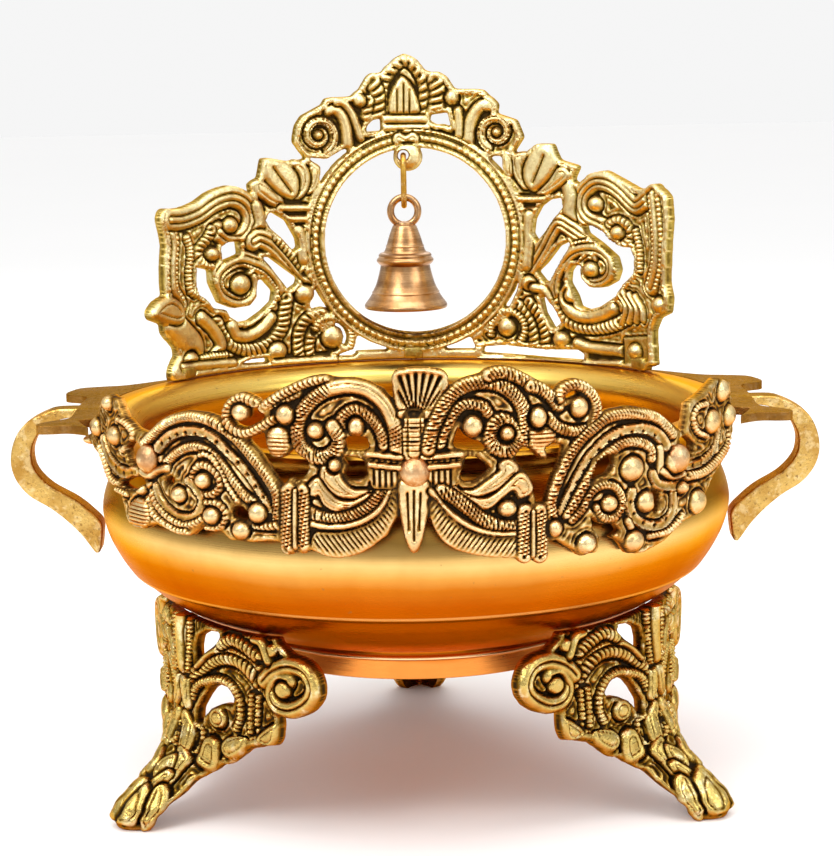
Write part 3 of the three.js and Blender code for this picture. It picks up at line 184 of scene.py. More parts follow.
ARCH = [
    ["polyc",[[51,211.9],[50.8,207.6],[50.1,203.3],[49.1,199.1],[47.7,194.9],[46,190.8],[43.9,186.9],[41.5,183.2],[38.7,179.7],[35.7,176.4],[32.5,173.4],[29,170.7],[25.3,168.3],[21.5,166.2],[17.5,164.5],[13.4,163.2],[9.26,162.3],[5.04,161.7],[0.8,161.6],[-3.43,161.9],[-7.63,162.6],[-11.8,163.7],[-15.8,165.1],[-19.7,166.9],[-23.4,169.1],[-27,171.7],[-30.4,174.5],[-33.5,177.6],[-36.4,181],[-38.9,184.6],[-41.2,188.4],[-43.1,192.4],[-44.7,196.5],[-45.9,200.7],[-46.8,205],[-47.2,209.3],[-47.3,213.6],[-47,217.9],[-46.3,222.1],[-45.2,226.3],[-43.8,230.3],[-42,234.2],[-39.9,237.9],[-37.5,241.5],[-34.7,244.8],[-31.8,247.8],[-28.5,250.6],[-25.1,253.2],[-21.5,255.3],[-17.7,257.2],[-13.8,258.8],[-9.76,260],[-5.65,260.8],[-1.5,261.3],[2.68,261.4],[6.85,261.1],[11,260.5],[15.1,259.5],[19.1,258.2],[22.9,256.5],[26.7,254.5],[30.2,252.2],[33.6,249.6],[36.7,246.7],[39.6,243.5],[42.2,240.1],[44.5,236.5],[46.5,232.7],[48.1,228.8],[49.4,224.7],[50.4,220.5],[50.9,216.2]],{"h":0.34}],
    ["poly",[[-117,157.3],[-108,162.5],[-60,161.5],[0,161.5],[60,161.5],[112,162.5],[119,157.3]],{"h":0.5}],
    ["poly",[[-128.6,229.2],[-123.9,230.9],[-108.9,232.5],[-97.2,236.9],[-87.2,237],[-75.4,233.2],[-73,230.2],[-75.2,240.2],[-70.2,242.1],[-68.2,251.2],[-64.2,251],[-54.1,249.1],[-46.4,250.2],[-40.4,246.4],[-41.4,237.2],[-44.7,228.7],[-47.3,217.3],[-49.1,205.9],[-49.5,191.4],[-45.3,178.1],[-34.2,167.2],[-23.3,154.9],[-30.7,155.3],[-61.6,156.7],[-90.3,158.8],[-121.2,159.8],[-119.6,168],[-122.2,180.9],[-137.7,186.2],[-138.8,189.8],[-133.4,193.3],[-126,195.2],[-126.6,205],[-124.9,213.1],[-126.7,222.9]],{"h":0.3}],
    ["hole",[[-65.8,226.9],[-63.4,226.8],[-57.2,222.9],[-52.7,214.7],[-52.1,210.4],[-54.5,209.1],[-59.8,215.1],[-65.2,219.8],[-67.5,223.5]],{}],
    ["hole",[[-91.8,213.1],[-88.1,215.2],[-82,215.2],[-81.3,209.4],[-84.8,208.3],[-91.1,206.7]],{}],
    ["hole",[[-106.2,205.8],[-97.7,203.7],[-97.5,198],[-92.8,188.7],[-85.7,185.6],[-77.1,185.9],[-73.2,189.9],[-73.5,193.1],[-72.5,197.3],[-69.2,197.1],[-64.5,191.7],[-65.5,186.8],[-70.5,182.8],[-77.3,179.1],[-82.5,178.8],[-88.1,182.2],[-89.3,185.2],[-96.5,186.6],[-101.1,191.3],[-105.8,193.9],[-107,199.6]],{}],
    ["hole",[[-70.1,207.2],[-65.6,206.9],[-58.6,201.4],[-52.5,196.7],[-53.4,193.9],[-57.3,191.6],[-61.1,196.5],[-65.8,202.6]],{}],
    ["hole",[[-83.2,160.2],[-76.2,161.7],[-68.7,161.7],[-68,159.4]],{}],
    ["hole",[[-35.9,160],[-28.3,162.5],[-25.4,160.9],[-27.6,159.5]],{}],
    ["plain",[[-122.2,182.3],[-115.9,176.7],[-110,170.3],[-113.3,165.1],[-117.8,160]],{"w":9.09}],
    ["band",[[-124,228.2],[-121.2,218.3],[-122.4,208],[-122.4,197.6],[-117.3,190.1]],{"w":7.23,"lad":1}],
    ["bead",[[-112.6,220.3],[-109.9,213.1],[-111.4,203.5],[-110.7,196.4],[-106.8,193.2]],{"w":3.34}],
    ["petal",[[-138.2,189],[-133.4,192.6],[-124.9,194.4],[-117.3,190.1],[-116,183.7],[-122.2,182.2],[-136.4,186.6]],{"rib":0}],
    ["band2",[[-122.9,227.7],[-114.3,227.4],[-104.1,229.4],[-94.5,233.6],[-85.6,235.2],[-78.8,232.7],[-74.8,226.7],[-75.9,220.4],[-80.2,216.4],[-87.1,216.9],[-92.4,220.2]],{"w":7.29,"lines":2}],
    ["boss",[[-86.5,222.6]],{"r":[3.94,3.52]}],
    ["plain",[[-72.2,230.1],[-70.8,222.9],[-73.5,217.4]],{"w":4.26}],
    ["band2",[[-74.4,214.6],[-71,215.8],[-64.6,212.6],[-58.5,206.4],[-52.4,198.9],[-47.9,194.2]],{"w":6.81,"lines":2}],
    ["rope",[[-62.2,215.3],[-55.3,207.7],[-49.3,200.1]],{"w":3.31,"p":2.44}],
    ["rope",[[-96.9,221.2],[-98.9,217.8],[-103.9,214],[-105,209.9],[-100.4,205.3],[-94.8,205.5],[-92.8,210.3]],{"w":3.36,"p":2.38}],
    ["boss",[[-96.9,210.7]],{"r":[3.54,3.16]}],
    ["band",[[-60.5,190],[-62.8,195.9],[-68.2,202.1],[-74.7,205.4],[-81.4,207.3],[-88.5,205.7],[-94,201.9],[-95.2,196.4],[-91.8,191.1],[-83.9,187.6],[-77,189.1],[-74.3,193.9],[-74.9,199]],{"w":6.05,"beads":1}],
    ["boss",[[-81.8,195.9]],{"r":[5.18,4.62]}],
    ["petal",[[-72.7,240.8],[-70.2,241.4],[-63,237.4],[-59.2,232.3],[-59.3,229.4],[-64.9,230.4],[-70.4,234.3],[-72.8,236.6]],{"rib":0}],
    ["petal",[[-45,246.6],[-41.2,245.1],[-42.9,238],[-46.8,234.5],[-47,239.6]],{"rib":0}],
    ["petal",[[-54.9,247.7],[-51,249.4],[-47.2,246.4],[-45.9,240.9],[-48.3,234.6],[-52.2,232.5],[-54.4,236.3]],{"rib":0}],
    ["petal",[[-67.4,250.4],[-64.2,250.6],[-56.4,248.2],[-51.9,242.6],[-51.7,236.2],[-54.5,232.6],[-60.7,235.2],[-66.9,241.2],[-68.8,246.2]],{"rib":0,"lines":[[[-63.9,247.1],[-55.2,235.6]]]}],
    ["plain",[[-60.5,228.8],[-47,228.1]],{"w":2.43}],
    ["plain",[[-56.8,223.6],[-46.7,223.1]],{"w":2.44}],
    ["plain",[[-54.6,219.2],[-47.1,218.8]],{"w":2.44}],
    ["plain",[[-51.9,217.6],[-50.5,211.7],[-49.5,205.2]],{"w":4.32}],
    ["rope",[[-52.8,159.6],[-53.3,169.9],[-49.1,177.6],[-41.4,180.1]],{"w":3.64,"p":2.62}],
    ["rope",[[-47.4,158.5],[-47.9,166.6],[-44.7,172.2],[-38.5,174.8]],{"w":3.21,"p":2.63}],
    ["boss",[[-49.6,189.3]],{"r":[4.63,4.34]}],
    ["bead",[[-45.5,172.3],[-43,176.1],[-37.7,177.7],[-31.7,175.9],[-28.1,170.6],[-28.3,165.4],[-31.4,161.2],[-37.4,160.1]],{"w":3.22}],
    ["boss",[[-37,168.8]],{"r":[5.13,5.12]}],
    ["rope",[[-95,179.7],[-92.4,174.1],[-86.3,169.2],[-77.8,166],[-66.9,168.1],[-61,174.8],[-59.2,182.7],[-58.2,187.7]],{"w":4.17,"p":2.59}],
    ["plain",[[-86.9,177.5],[-84.4,173.3],[-77.5,172.6],[-70.7,175.6],[-66.5,179.6]],{"w":4.02}],
    ["plain",[[-104.3,183.1],[-97.9,177.5],[-93.5,169.9],[-97.5,165.3]],{"w":4.25}],
    ["bead",[[-106.2,164.9],[-98.4,165.4],[-90.1,165.2]],{"w":2.84}],
    ["boss",[[-63.8,164.2]],{"r":[4.68,4.35]}],
    ["boss",[[-112.3,165]],{"r":[4.72,4.21]}],
    ["plain",[[-117.7,162.8],[-86.7,161.2]],{"w":2.83}],
    ["plain",[[-65.5,159.1],[-35.9,158.5]],{"w":2.63}],
    ["poly",[[41.7,249.9],[53.2,251.4],[57.9,255],[65.8,255.1],[68.9,248],[78.8,245.4],[75.4,238.3],[80.5,237.7],[83.9,242],[92.8,244],[103.9,239.8],[111.8,236.7],[128.2,237.4],[133.1,234.3],[134.3,224.8],[133,215.2],[131.7,197.3],[134.2,190.6],[132.9,184.3],[125.7,181.5],[122.2,175.6],[123.3,160.3],[105.3,157],[78,156.2],[53.6,156.2],[30.7,157],[26.4,167.3],[43,178.5],[48.5,189.6],[50.3,204.1],[50.5,218.5],[49.8,227.1],[43.1,241.4]],{"h":0.3}],
    ["hole",[[63.9,230.2],[70.4,231.4],[70.8,226.8],[66.2,221.7],[62.2,215.9],[58.1,211.5],[55.8,215],[56.7,221.5],[59.9,227.3]],{}],
    ["hole",[[68.5,209.6],[73.5,211.9],[75.1,210.6],[71.8,206.2],[67.2,198.8],[64.3,193.7],[61.9,193.2],[58,197.8],[62,201.5]],{}],
    ["hole",[[82,219.4],[86.3,219.5],[92.5,217],[96.2,213.6],[102.8,210.8],[108.7,210.8],[110.7,206.8],[110.6,199.8],[103.6,194.4],[99.7,189.2],[90.5,183.6],[83.4,181.7],[79.1,182.9],[77.4,187.8],[73.7,193.4],[74.2,198.4],[76.3,201.3],[80.1,201.5],[80.5,195.8],[85.2,191.8],[92.3,192.2],[98.8,195.5],[100.8,200.5],[98.9,206.1],[90.7,211.6],[83.2,215.9]],{}],
    ["hole",[[59.8,185.9],[61.8,186.8],[66.6,180.8],[69.8,175.2],[65.7,172.1],[61.4,179.1]],{}],
    ["hole",[[32.3,162.9],[41.3,163.7],[61.6,162.4],[78,163.3],[81.9,161.5],[81,158.7],[61.5,158.8],[31.5,160]],{}],
    ["band2",[[122.5,235.1],[113.9,229.9],[109.8,230.4],[102,235.6],[94.5,238.8],[87.4,238.6],[81.3,233.5],[80.3,227.1],[83.7,222.3],[90.8,219.7],[96.2,217.2]],{"w":6.3,"lines":2}],
    ["boss",[[88.6,229.1]],{"r":[3.94,3.52]}],
    ["rope",[[96.2,220.7],[100.9,222.3],[106.7,220.5],[108.7,216.4],[104.7,212],[98,212],[94.8,215.3]],{"w":3.08,"p":2.52}],
    ["boss",[[100.9,217]],{"r":[3.61,3.22]}],
    ["band",[[123.6,235.2],[125.3,225],[126.4,214.7],[125.8,204.4],[122.3,195.1]],{"w":6.89,"lad":1}],
    ["bead",[[111.7,219.4],[114.3,210.5],[114.7,200.1]],{"w":3.2}],
    ["plain",[[73.7,236.8],[75.3,231.9],[74.5,226.2],[75.2,222]],{"w":4.96}],
    ["band2",[[54.1,199.1],[60.5,208.7],[64.6,215.9],[68.7,220.3],[75.2,217.7],[81.1,214.4],[87.1,211.1]],{"w":6,"lines":2}],
    ["band",[[68.2,179.4],[65.1,190.1],[67.6,198.8],[73.4,206.2],[80.2,209.4],[88.9,209.8],[96.1,205.9],[97.9,199.7],[94.2,194.5],[87,192.6],[81.8,195.2],[81,200.8],[85.3,204.6]],{"w":5.85,"beads":1}],
    ["boss",[[85.5,200]],{"r":[3.98,3.56]}],
    ["petal",[[68.1,243.8],[72.2,244.6],[74.6,242.5],[73.8,239.6],[68,235.3],[62.4,232.3],[58.6,233],[64.8,238.8]],{"rib":0}],
    ["petal",[[47,249.6],[53.2,250.7],[52.5,243.6],[53.8,236.5],[52.2,235],[47.7,241.4]],{"rib":0}],
    ["petal",[[42.5,249.6],[45.9,248.7],[46.3,241],[43.1,242.7]],{"rib":0}],
    ["petal",[[53.1,246.4],[57.1,252.2],[61.8,254.4],[65.8,252.6],[68.3,247.3],[66.6,242.9],[62.4,238],[57.6,234.2],[54.5,235.6],[52.3,240.7]],{"rib":0,"lines":[[[62.5,250.1],[56.9,237.9]]]}],
    ["plain",[[49.2,230.3],[61.7,230.5]],{"w":2.29}],
    ["plain",[[50.5,225.3],[59.9,225.5]],{"w":2.15}],
    ["plain",[[54.4,222.9],[54.2,211.4],[52.9,200.6]],{"w":3.88}],
    ["rope",[[48.5,182.3],[53,176.7],[56.1,168],[55.2,160.7]],{"w":3.5,"p":2.62}],
    ["rope",[[53.9,183.9],[59.3,176.9],[61.6,168.3],[60.8,162.4]],{"w":3.2,"p":2.62}],
    ["boss",[[54,192.6]],{"r":[3.67,3.62]}],
    ["plain",[[56.3,190.5],[61.9,189.3],[65,182.9]],{"w":3.18}],
    ["bead",[[35.3,167.4],[36.9,175.5],[43,179.3],[49.2,177.2],[51.8,171.5],[49,164.8]],{"w":3.07}],
    ["boss",[[43.1,172]],{"r":[4.2,4.24]}],
    ["rope",[[68.2,183.1],[71.5,176.7],[79.9,173.6],[92.2,174.4],[103.5,178.1],[109.5,184.3]],{"w":4.01,"p":2.58}],
    ["plain",[[73.3,190.5],[71.6,186.1],[74.8,180.5],[82.5,178.2],[92.2,180.1],[97.8,183]],{"w":4.01}],
    ["boss",[[75.3,187.7]],{"r":[3.62,3.23]}],
    ["plain",[[100.7,191.4],[106,184.7],[103.5,177.1]],{"w":1.84}],
    ["plain",[[104.2,190.9],[109.4,184.5],[107.8,177.9]],{"w":1.83}],
    ["plain",[[107.7,190.4],[112.9,184.4],[112.3,178.7]],{"w":1.83}],
    ["plain",[[111.4,190],[116.5,184.3],[117,179.5]],{"w":1.82}],
    ["boss",[[128,187.3]],{"r":[4.04,3.6]}],
    ["plain",[[78.1,166.3],[86.7,164.6],[105.4,164.8],[120,166.9]],{"w":3.57}],
    ["plain",[[30.7,157],[53.6,156.8],[81.4,157.7],[103.4,159]],{"w":2.47}],
    ["poly",[[103.5,171.1],[121.1,173.4],[122.1,160.9],[120.5,159.3],[104.3,157.6]],{"h":0.6}],
    ["boss",[[111.4,165.3]],{"r":[4.12,3.68]}],
    ["boss",[[69.7,167.6]],{"r":[4.06,3.62]}],
    ["poly",[[-51.5,264.7],[-48.3,269.4],[-39,273.9],[-37.4,276.8],[-25.8,277.4],[-21.8,280.7],[-18.7,286],[-11.8,287.8],[-10.8,289.7],[-1.88,296.2],[6.75,288.4],[16.5,285.8],[20.3,279.9],[33.2,279.3],[40.2,272.5],[39.1,268.6],[48.3,265.7],[51.4,258],[46.1,250.2],[33.8,249.2],[27.9,253.2],[9.94,247.5],[4.91,241.7],[-6.88,241.9],[-11.7,247.9],[-29.4,254.3],[-37.6,249.7],[-47.8,251],[-52.8,258]],{"h":0.3}],
    ["hole",[[-18.7,264.2],[-16.2,266.5],[-12.8,267.2],[-12.7,261.6],[-19.3,261.3]],{}],
    ["hole",[[9.82,268.4],[17.2,269.3],[18.6,263],[15.2,264.2],[12.2,263.9],[9.28,265.8]],{}],
    ["rope",[[-11.7,268.4],[-11.1,282.9],[-1.95,292.9],[6.19,284.5],[6.89,269]],{"w":3.5,"p":3.87}],
    ["rope",[[-15.8,284],[-14,278.1],[-14,268.9]],{"w":4.6,"p":3.49}],
    ["rope",[[12.1,283.9],[12.9,277.6],[11.8,270.4]],{"w":5,"p":3.49}],
    ["rope",[[-18,275.3],[-19.1,268.1]],{"w":3.29,"p":2.91}],
    ["petal",[[-3.06,285.6],[0.77,282.2],[3.76,274.9],[3.76,269.5],[-7.8,269.3],[-8.34,276.1],[-6.07,281.8]],{"rib":0,"lines":[[[-5.13,279.9],[-5.34,269.7]],[[-2.15,282.7],[-2.4,269.6]],[[0.44,279.8],[0.24,269.6]]]}],
    ["plain",[[-10.3,266.7],[6.35,266.4]],{"w":3.11}],
    ["plain",[[-10.6,263],[7.75,262.6]],{"w":2.53}],
    ["plain",[[-27.8,256.5],[-28.3,263],[-30,268.5],[-33.3,271.8],[-36,271]],{"w":3.7,"w2":3.2}],
    ["plain",[[-21.8,258.5],[-23.5,264],[-26,270.5],[-29.5,274.6],[-32.5,275]],{"w":2.6}],
    ["boss",[[-21.9,275.4]],{"r":[2.96,3.1]}],
    ["boss",[[19.3,276.1]],{"r":[3.25,3.48]}],
    ["plain",[[26.3,256.8],[27,263],[29.5,269],[33,272.5],[35.4,272]],{"w":4.4,"w2":3.6}],
    ["plain",[[22.2,259.5],[22.4,264],[22,270.2]],{"w":2.8}],
    ["band",[[-37.2,253.3],[-35.2,255.3],[-34.1,257.8],[-33.9,260.5],[-34.6,262.9],[-36,265],[-38,266.3],[-40.3,266.8],[-42.5,266.6],[-44.4,265.6],[-45.7,264.1],[-46.5,262.3],[-46.6,260.5],[-46,258.8],[-45,257.5],[-43.6,256.6],[-42.1,256.4],[-40.7,256.6],[-39.5,257.3],[-38.8,258.3],[-38.4,259.4],[-38.5,260.5],[-38.9,261.4],[-39.6,262],[-40.3,262.3],[-41.1,262.3],[-41.7,262.1]],{"w":3.3,"w2":2.4,"beads":1}],
    ["boss",[[-41.4,260.5]],{"r":[2.1,2.1]}],
    ["band",[[35.6,253.5],[33.7,255.4],[32.6,257.9],[32.4,260.4],[33,262.8],[34.4,264.7],[36.3,266],[38.5,266.5],[40.6,266.3],[42.4,265.4],[43.8,263.9],[44.5,262.2],[44.6,260.4],[44,258.8],[43,257.5],[41.7,256.7],[40.3,256.4],[38.9,256.7],[37.8,257.3],[37,258.3],[36.7,259.4],[36.8,260.4],[37.1,261.3],[37.8,261.9],[38.5,262.2],[39.2,262.2],[39.9,262]],{"w":3.3,"w2":2.4,"beads":1}],
    ["boss",[[39.6,260.4]],{"r":[2.1,2.1]}],
    ["hole_e",[[43,211.8],[42.8,209],[42.5,206.3],[42,203.6],[41.4,200.9],[40.5,198.3],[39.5,195.7],[38.4,193.2],[37,190.7],[35.5,188.3],[33.9,186.1],[32.1,183.9],[30.2,181.9],[28.2,179.9],[26.1,178.2],[23.9,176.5],[21.6,175.1],[19.1,173.7],[16.7,172.6],[14.1,171.6],[11.6,170.8],[8.94,170.2],[6.29,169.8],[3.62,169.6],[0.95,169.5],[-1.72,169.7],[-4.38,170],[-7.01,170.5],[-9.6,171.2],[-12.2,172.1],[-14.6,173.2],[-17.1,174.4],[-19.4,175.8],[-21.7,177.3],[-23.8,179.1],[-25.9,180.9],[-27.8,182.9],[-29.6,185],[-31.3,187.2],[-32.8,189.5],[-34.2,191.9],[-35.5,194.4],[-36.5,197],[-37.4,199.6],[-38.1,202.3],[-38.7,205],[-39.1,207.7],[-39.3,210.5],[-39.3,213.2],[-39.1,215.9],[-38.8,218.7],[-38.3,221.3],[-37.6,223.9],[-36.7,226.5],[-35.7,229.1],[-34.5,231.5],[-33.2,233.8],[-31.7,236.1],[-30.1,238.3],[-28.3,240.3],[-26.4,242.2],[-24.4,244],[-22.3,245.7],[-20.1,247.2],[-17.8,248.6],[-15.4,249.8],[-13,250.9],[-10.5,251.8],[-7.94,252.5],[-5.35,253.1],[-2.74,253.5],[-0.1,253.7],[2.54,253.7],[5.17,253.6],[7.8,253.3],[10.4,252.8],[13,252.1],[15.5,251.3],[18,250.3],[20.4,249.2],[22.7,247.9],[25,246.4],[27.1,244.8],[29.2,243.1],[31.1,241.2],[32.9,239.2],[34.6,237.1],[36.2,234.9],[37.6,232.6],[38.9,230.2],[40,227.7],[40.9,225.2],[41.7,222.6],[42.3,219.9],[42.7,217.2],[42.9,214.5]],{}],
    ["beadring",[[47.6,211.8],[47.6,209.8],[47.4,207.8],[47.2,205.8],[46.8,203.8],[46.4,201.8],[45.9,199.8],[45.3,197.9],[44.6,195.9],[43.8,194],[43,192.2],[42,190.3],[41,188.5],[39.9,186.8],[38.8,185.1],[37.5,183.4],[36.2,181.8],[34.9,180.2],[33.4,178.7],[31.9,177.3],[30.4,175.9],[28.8,174.6],[27.2,173.4],[25.5,172.2],[23.8,171.2],[22,170.2],[20.2,169.2],[18.3,168.4],[16.5,167.7],[14.6,167],[12.7,166.4],[10.7,166],[8.76,165.6],[6.8,165.3],[4.82,165.1],[2.84,165],[0.86,165],[-1.11,165.1],[-3.09,165.2],[-5.05,165.5],[-7,165.9],[-8.94,166.3],[-10.9,166.9],[-12.8,167.5],[-14.6,168.2],[-16.5,169.1],[-18.3,169.9],[-20,170.9],[-21.8,172],[-23.4,173.1],[-25.1,174.3],[-26.7,175.6],[-28.2,177],[-29.7,178.4],[-31.1,179.9],[-32.5,181.4],[-33.8,183],[-35,184.7],[-36.2,186.4],[-37.3,188.1],[-38.3,189.9],[-39.2,191.8],[-40.1,193.6],[-40.8,195.5],[-41.5,197.4],[-42.1,199.4],[-42.7,201.4],[-43.1,203.4],[-43.5,205.4],[-43.7,207.4],[-43.9,209.4],[-44,211.4],[-44,213.4],[-43.9,215.4],[-43.7,217.4],[-43.4,219.4],[-43,221.4],[-42.6,223.4],[-42,225.3],[-41.4,227.2],[-40.7,229.1],[-39.9,230.9],[-39,232.7],[-38.1,234.5],[-37.1,236.2],[-36,237.9],[-34.8,239.5],[-33.6,241.1],[-32.3,242.6],[-30.9,244.1],[-29.5,245.4],[-28.1,246.8],[-26.5,248.1],[-24.9,249.3],[-23.3,250.4],[-21.7,251.5],[-19.9,252.5],[-18.2,253.4],[-16.4,254.2],[-14.6,255],[-12.8,255.7],[-10.9,256.3],[-9,256.8],[-7.09,257.2],[-5.17,257.6],[-3.23,257.8],[-1.28,258],[0.67,258.1],[2.62,258.1],[4.57,258],[6.52,257.9],[8.46,257.6],[10.4,257.3],[12.3,256.9],[14.2,256.4],[16.1,255.8],[17.9,255.1],[19.8,254.4],[21.5,253.6],[23.3,252.7],[25,251.7],[26.7,250.6],[28.3,249.5],[29.9,248.3],[31.5,247.1],[33,245.7],[34.4,244.3],[35.8,242.9],[37.1,241.4],[38.3,239.8],[39.5,238.2],[40.6,236.5],[41.6,234.8],[42.6,233.1],[43.5,231.3],[44.3,229.4],[45,227.6],[45.6,225.7],[46.2,223.8],[46.6,221.8],[47,219.9],[47.3,217.9],[47.5,215.9],[47.6,213.9],[47.6,211.8]],{"w":5.24}],
    ["ringpl",[[43.9,211.8],[43.9,209.9],[43.7,208.1],[43.5,206.2],[43.1,204.4],[42.8,202.5],[42.3,200.7],[41.7,198.9],[41.1,197.1],[40.4,195.3],[39.6,193.6],[38.8,191.9],[37.8,190.2],[36.8,188.6],[35.8,187.1],[34.6,185.5],[33.5,184],[32.2,182.6],[30.9,181.2],[29.5,179.9],[28.1,178.6],[26.6,177.4],[25.1,176.3],[23.6,175.2],[22,174.3],[20.4,173.3],[18.7,172.5],[17,171.7],[15.3,171.1],[13.6,170.5],[11.8,169.9],[10,169.5],[8.2,169.1],[6.39,168.9],[4.58,168.7],[2.75,168.6],[0.93,168.6],[-0.89,168.7],[-2.71,168.8],[-4.51,169.1],[-6.31,169.4],[-8.09,169.8],[-9.86,170.3],[-11.6,170.9],[-13.3,171.6],[-15,172.3],[-16.7,173.1],[-18.3,174],[-19.9,175],[-21.4,176.1],[-22.9,177.2],[-24.4,178.3],[-25.8,179.6],[-27.2,180.9],[-28.5,182.3],[-29.7,183.7],[-30.9,185.2],[-32,186.7],[-33.1,188.3],[-34.1,189.9],[-35,191.5],[-35.9,193.2],[-36.7,194.9],[-37.4,196.7],[-38,198.5],[-38.6,200.3],[-39.1,202.1],[-39.5,203.9],[-39.8,205.8],[-40,207.7],[-40.2,209.5],[-40.3,211.4],[-40.2,213.2],[-40.2,215.1],[-40,217],[-39.7,218.8],[-39.4,220.6],[-39,222.4],[-38.5,224.2],[-37.9,226],[-37.3,227.7],[-36.6,229.4],[-35.8,231.1],[-34.9,232.7],[-34,234.3],[-33,235.9],[-31.9,237.4],[-30.8,238.8],[-29.6,240.2],[-28.4,241.6],[-27.1,242.9],[-25.7,244.1],[-24.3,245.3],[-22.8,246.4],[-21.4,247.5],[-19.8,248.5],[-18.2,249.4],[-16.6,250.2],[-15,251],[-13.3,251.7],[-11.6,252.3],[-9.9,252.9],[-8.16,253.4],[-6.4,253.8],[-4.62,254.1],[-2.84,254.3],[-1.05,254.5],[0.75,254.6],[2.55,254.6],[4.35,254.5],[6.15,254.4],[7.93,254.2],[9.71,253.8],[11.5,253.5],[13.2,253],[14.9,252.5],[16.6,251.8],[18.3,251.2],[20,250.4],[21.6,249.6],[23.2,248.7],[24.7,247.7],[26.2,246.6],[27.7,245.5],[29.1,244.4],[30.5,243.1],[31.8,241.9],[33,240.5],[34.2,239.1],[35.4,237.7],[36.5,236.2],[37.5,234.6],[38.4,233.1],[39.3,231.4],[40.1,229.8],[40.8,228.1],[41.5,226.4],[42.1,224.6],[42.6,222.8],[43,221],[43.4,219.2],[43.6,217.4],[43.8,215.5],[43.9,213.7],[43.9,211.8]],{"w":1.55}],
    ["ringpl",[[51.2,211.9],[51.1,209.8],[50.9,207.6],[50.6,205.4],[50.3,203.3],[49.8,201.2],[49.2,199],[48.6,196.9],[47.9,194.9],[47,192.8],[46.1,190.8],[45.1,188.8],[44,186.9],[42.8,185],[41.6,183.2],[40.2,181.4],[38.8,179.6],[37.4,178],[35.8,176.4],[34.2,174.8],[32.6,173.3],[30.9,171.9],[29.1,170.6],[27.3,169.4],[25.4,168.2],[23.5,167.2],[21.6,166.2],[19.6,165.3],[17.6,164.5],[15.5,163.8],[13.5,163.2],[11.4,162.6],[9.28,162.2],[7.17,161.9],[5.05,161.7],[2.93,161.6],[0.8,161.6],[-1.33,161.7],[-3.45,161.8],[-5.56,162.1],[-7.65,162.5],[-9.73,163],[-11.8,163.6],[-13.8,164.3],[-15.8,165.1],[-17.8,165.9],[-19.8,166.9],[-21.7,168],[-23.5,169.1],[-25.3,170.3],[-27.1,171.6],[-28.8,173],[-30.5,174.5],[-32.1,176],[-33.6,177.6],[-35.1,179.2],[-36.5,181],[-37.8,182.8],[-39,184.6],[-40.2,186.5],[-41.3,188.4],[-42.3,190.4],[-43.2,192.4],[-44.1,194.4],[-44.8,196.5],[-45.5,198.6],[-46,200.7],[-46.5,202.8],[-46.9,205],[-47.2,207.1],[-47.4,209.3],[-47.4,211.4],[-47.4,213.6],[-47.3,215.8],[-47.1,217.9],[-46.8,220],[-46.4,222.2],[-45.9,224.2],[-45.4,226.3],[-44.7,228.3],[-43.9,230.3],[-43.1,232.3],[-42.1,234.2],[-41.1,236.1],[-40,238],[-38.8,239.8],[-37.6,241.5],[-36.2,243.2],[-34.9,244.8],[-33.4,246.4],[-31.9,247.9],[-30.3,249.3],[-28.6,250.7],[-26.9,252],[-25.2,253.2],[-23.4,254.3],[-21.6,255.4],[-19.7,256.4],[-17.8,257.3],[-15.8,258.1],[-13.8,258.8],[-11.8,259.5],[-9.79,260],[-7.74,260.5],[-5.67,260.9],[-3.6,261.1],[-1.51,261.3],[0.59,261.4],[2.68,261.4],[4.78,261.4],[6.87,261.2],[8.95,260.9],[11,260.6],[13.1,260.1],[15.1,259.6],[17.1,258.9],[19.1,258.2],[21.1,257.4],[23,256.6],[24.9,255.6],[26.7,254.5],[28.6,253.4],[30.3,252.2],[32,250.9],[33.7,249.6],[35.3,248.2],[36.8,246.7],[38.3,245.1],[39.7,243.5],[41.1,241.8],[42.3,240.1],[43.5,238.3],[44.6,236.5],[45.7,234.6],[46.6,232.7],[47.5,230.8],[48.3,228.8],[49,226.7],[49.6,224.7],[50.1,222.6],[50.5,220.5],[50.8,218.4],[51,216.2],[51.1,214.1],[51.2,211.9]],{"w":1.46}],
    ["petal",[[-1.77,251.6],[-6.6,255.6],[-7.02,259],[-4.54,260.6],[-1.63,258.9],[1.34,260.5],[3.95,258.8],[3.4,255.4]],{"rib":0}],
    ["lug",[[-0.83,249.6]],{"r":[6.28,6.25],"eye":[-2.94,250.4,2.5]}],
]

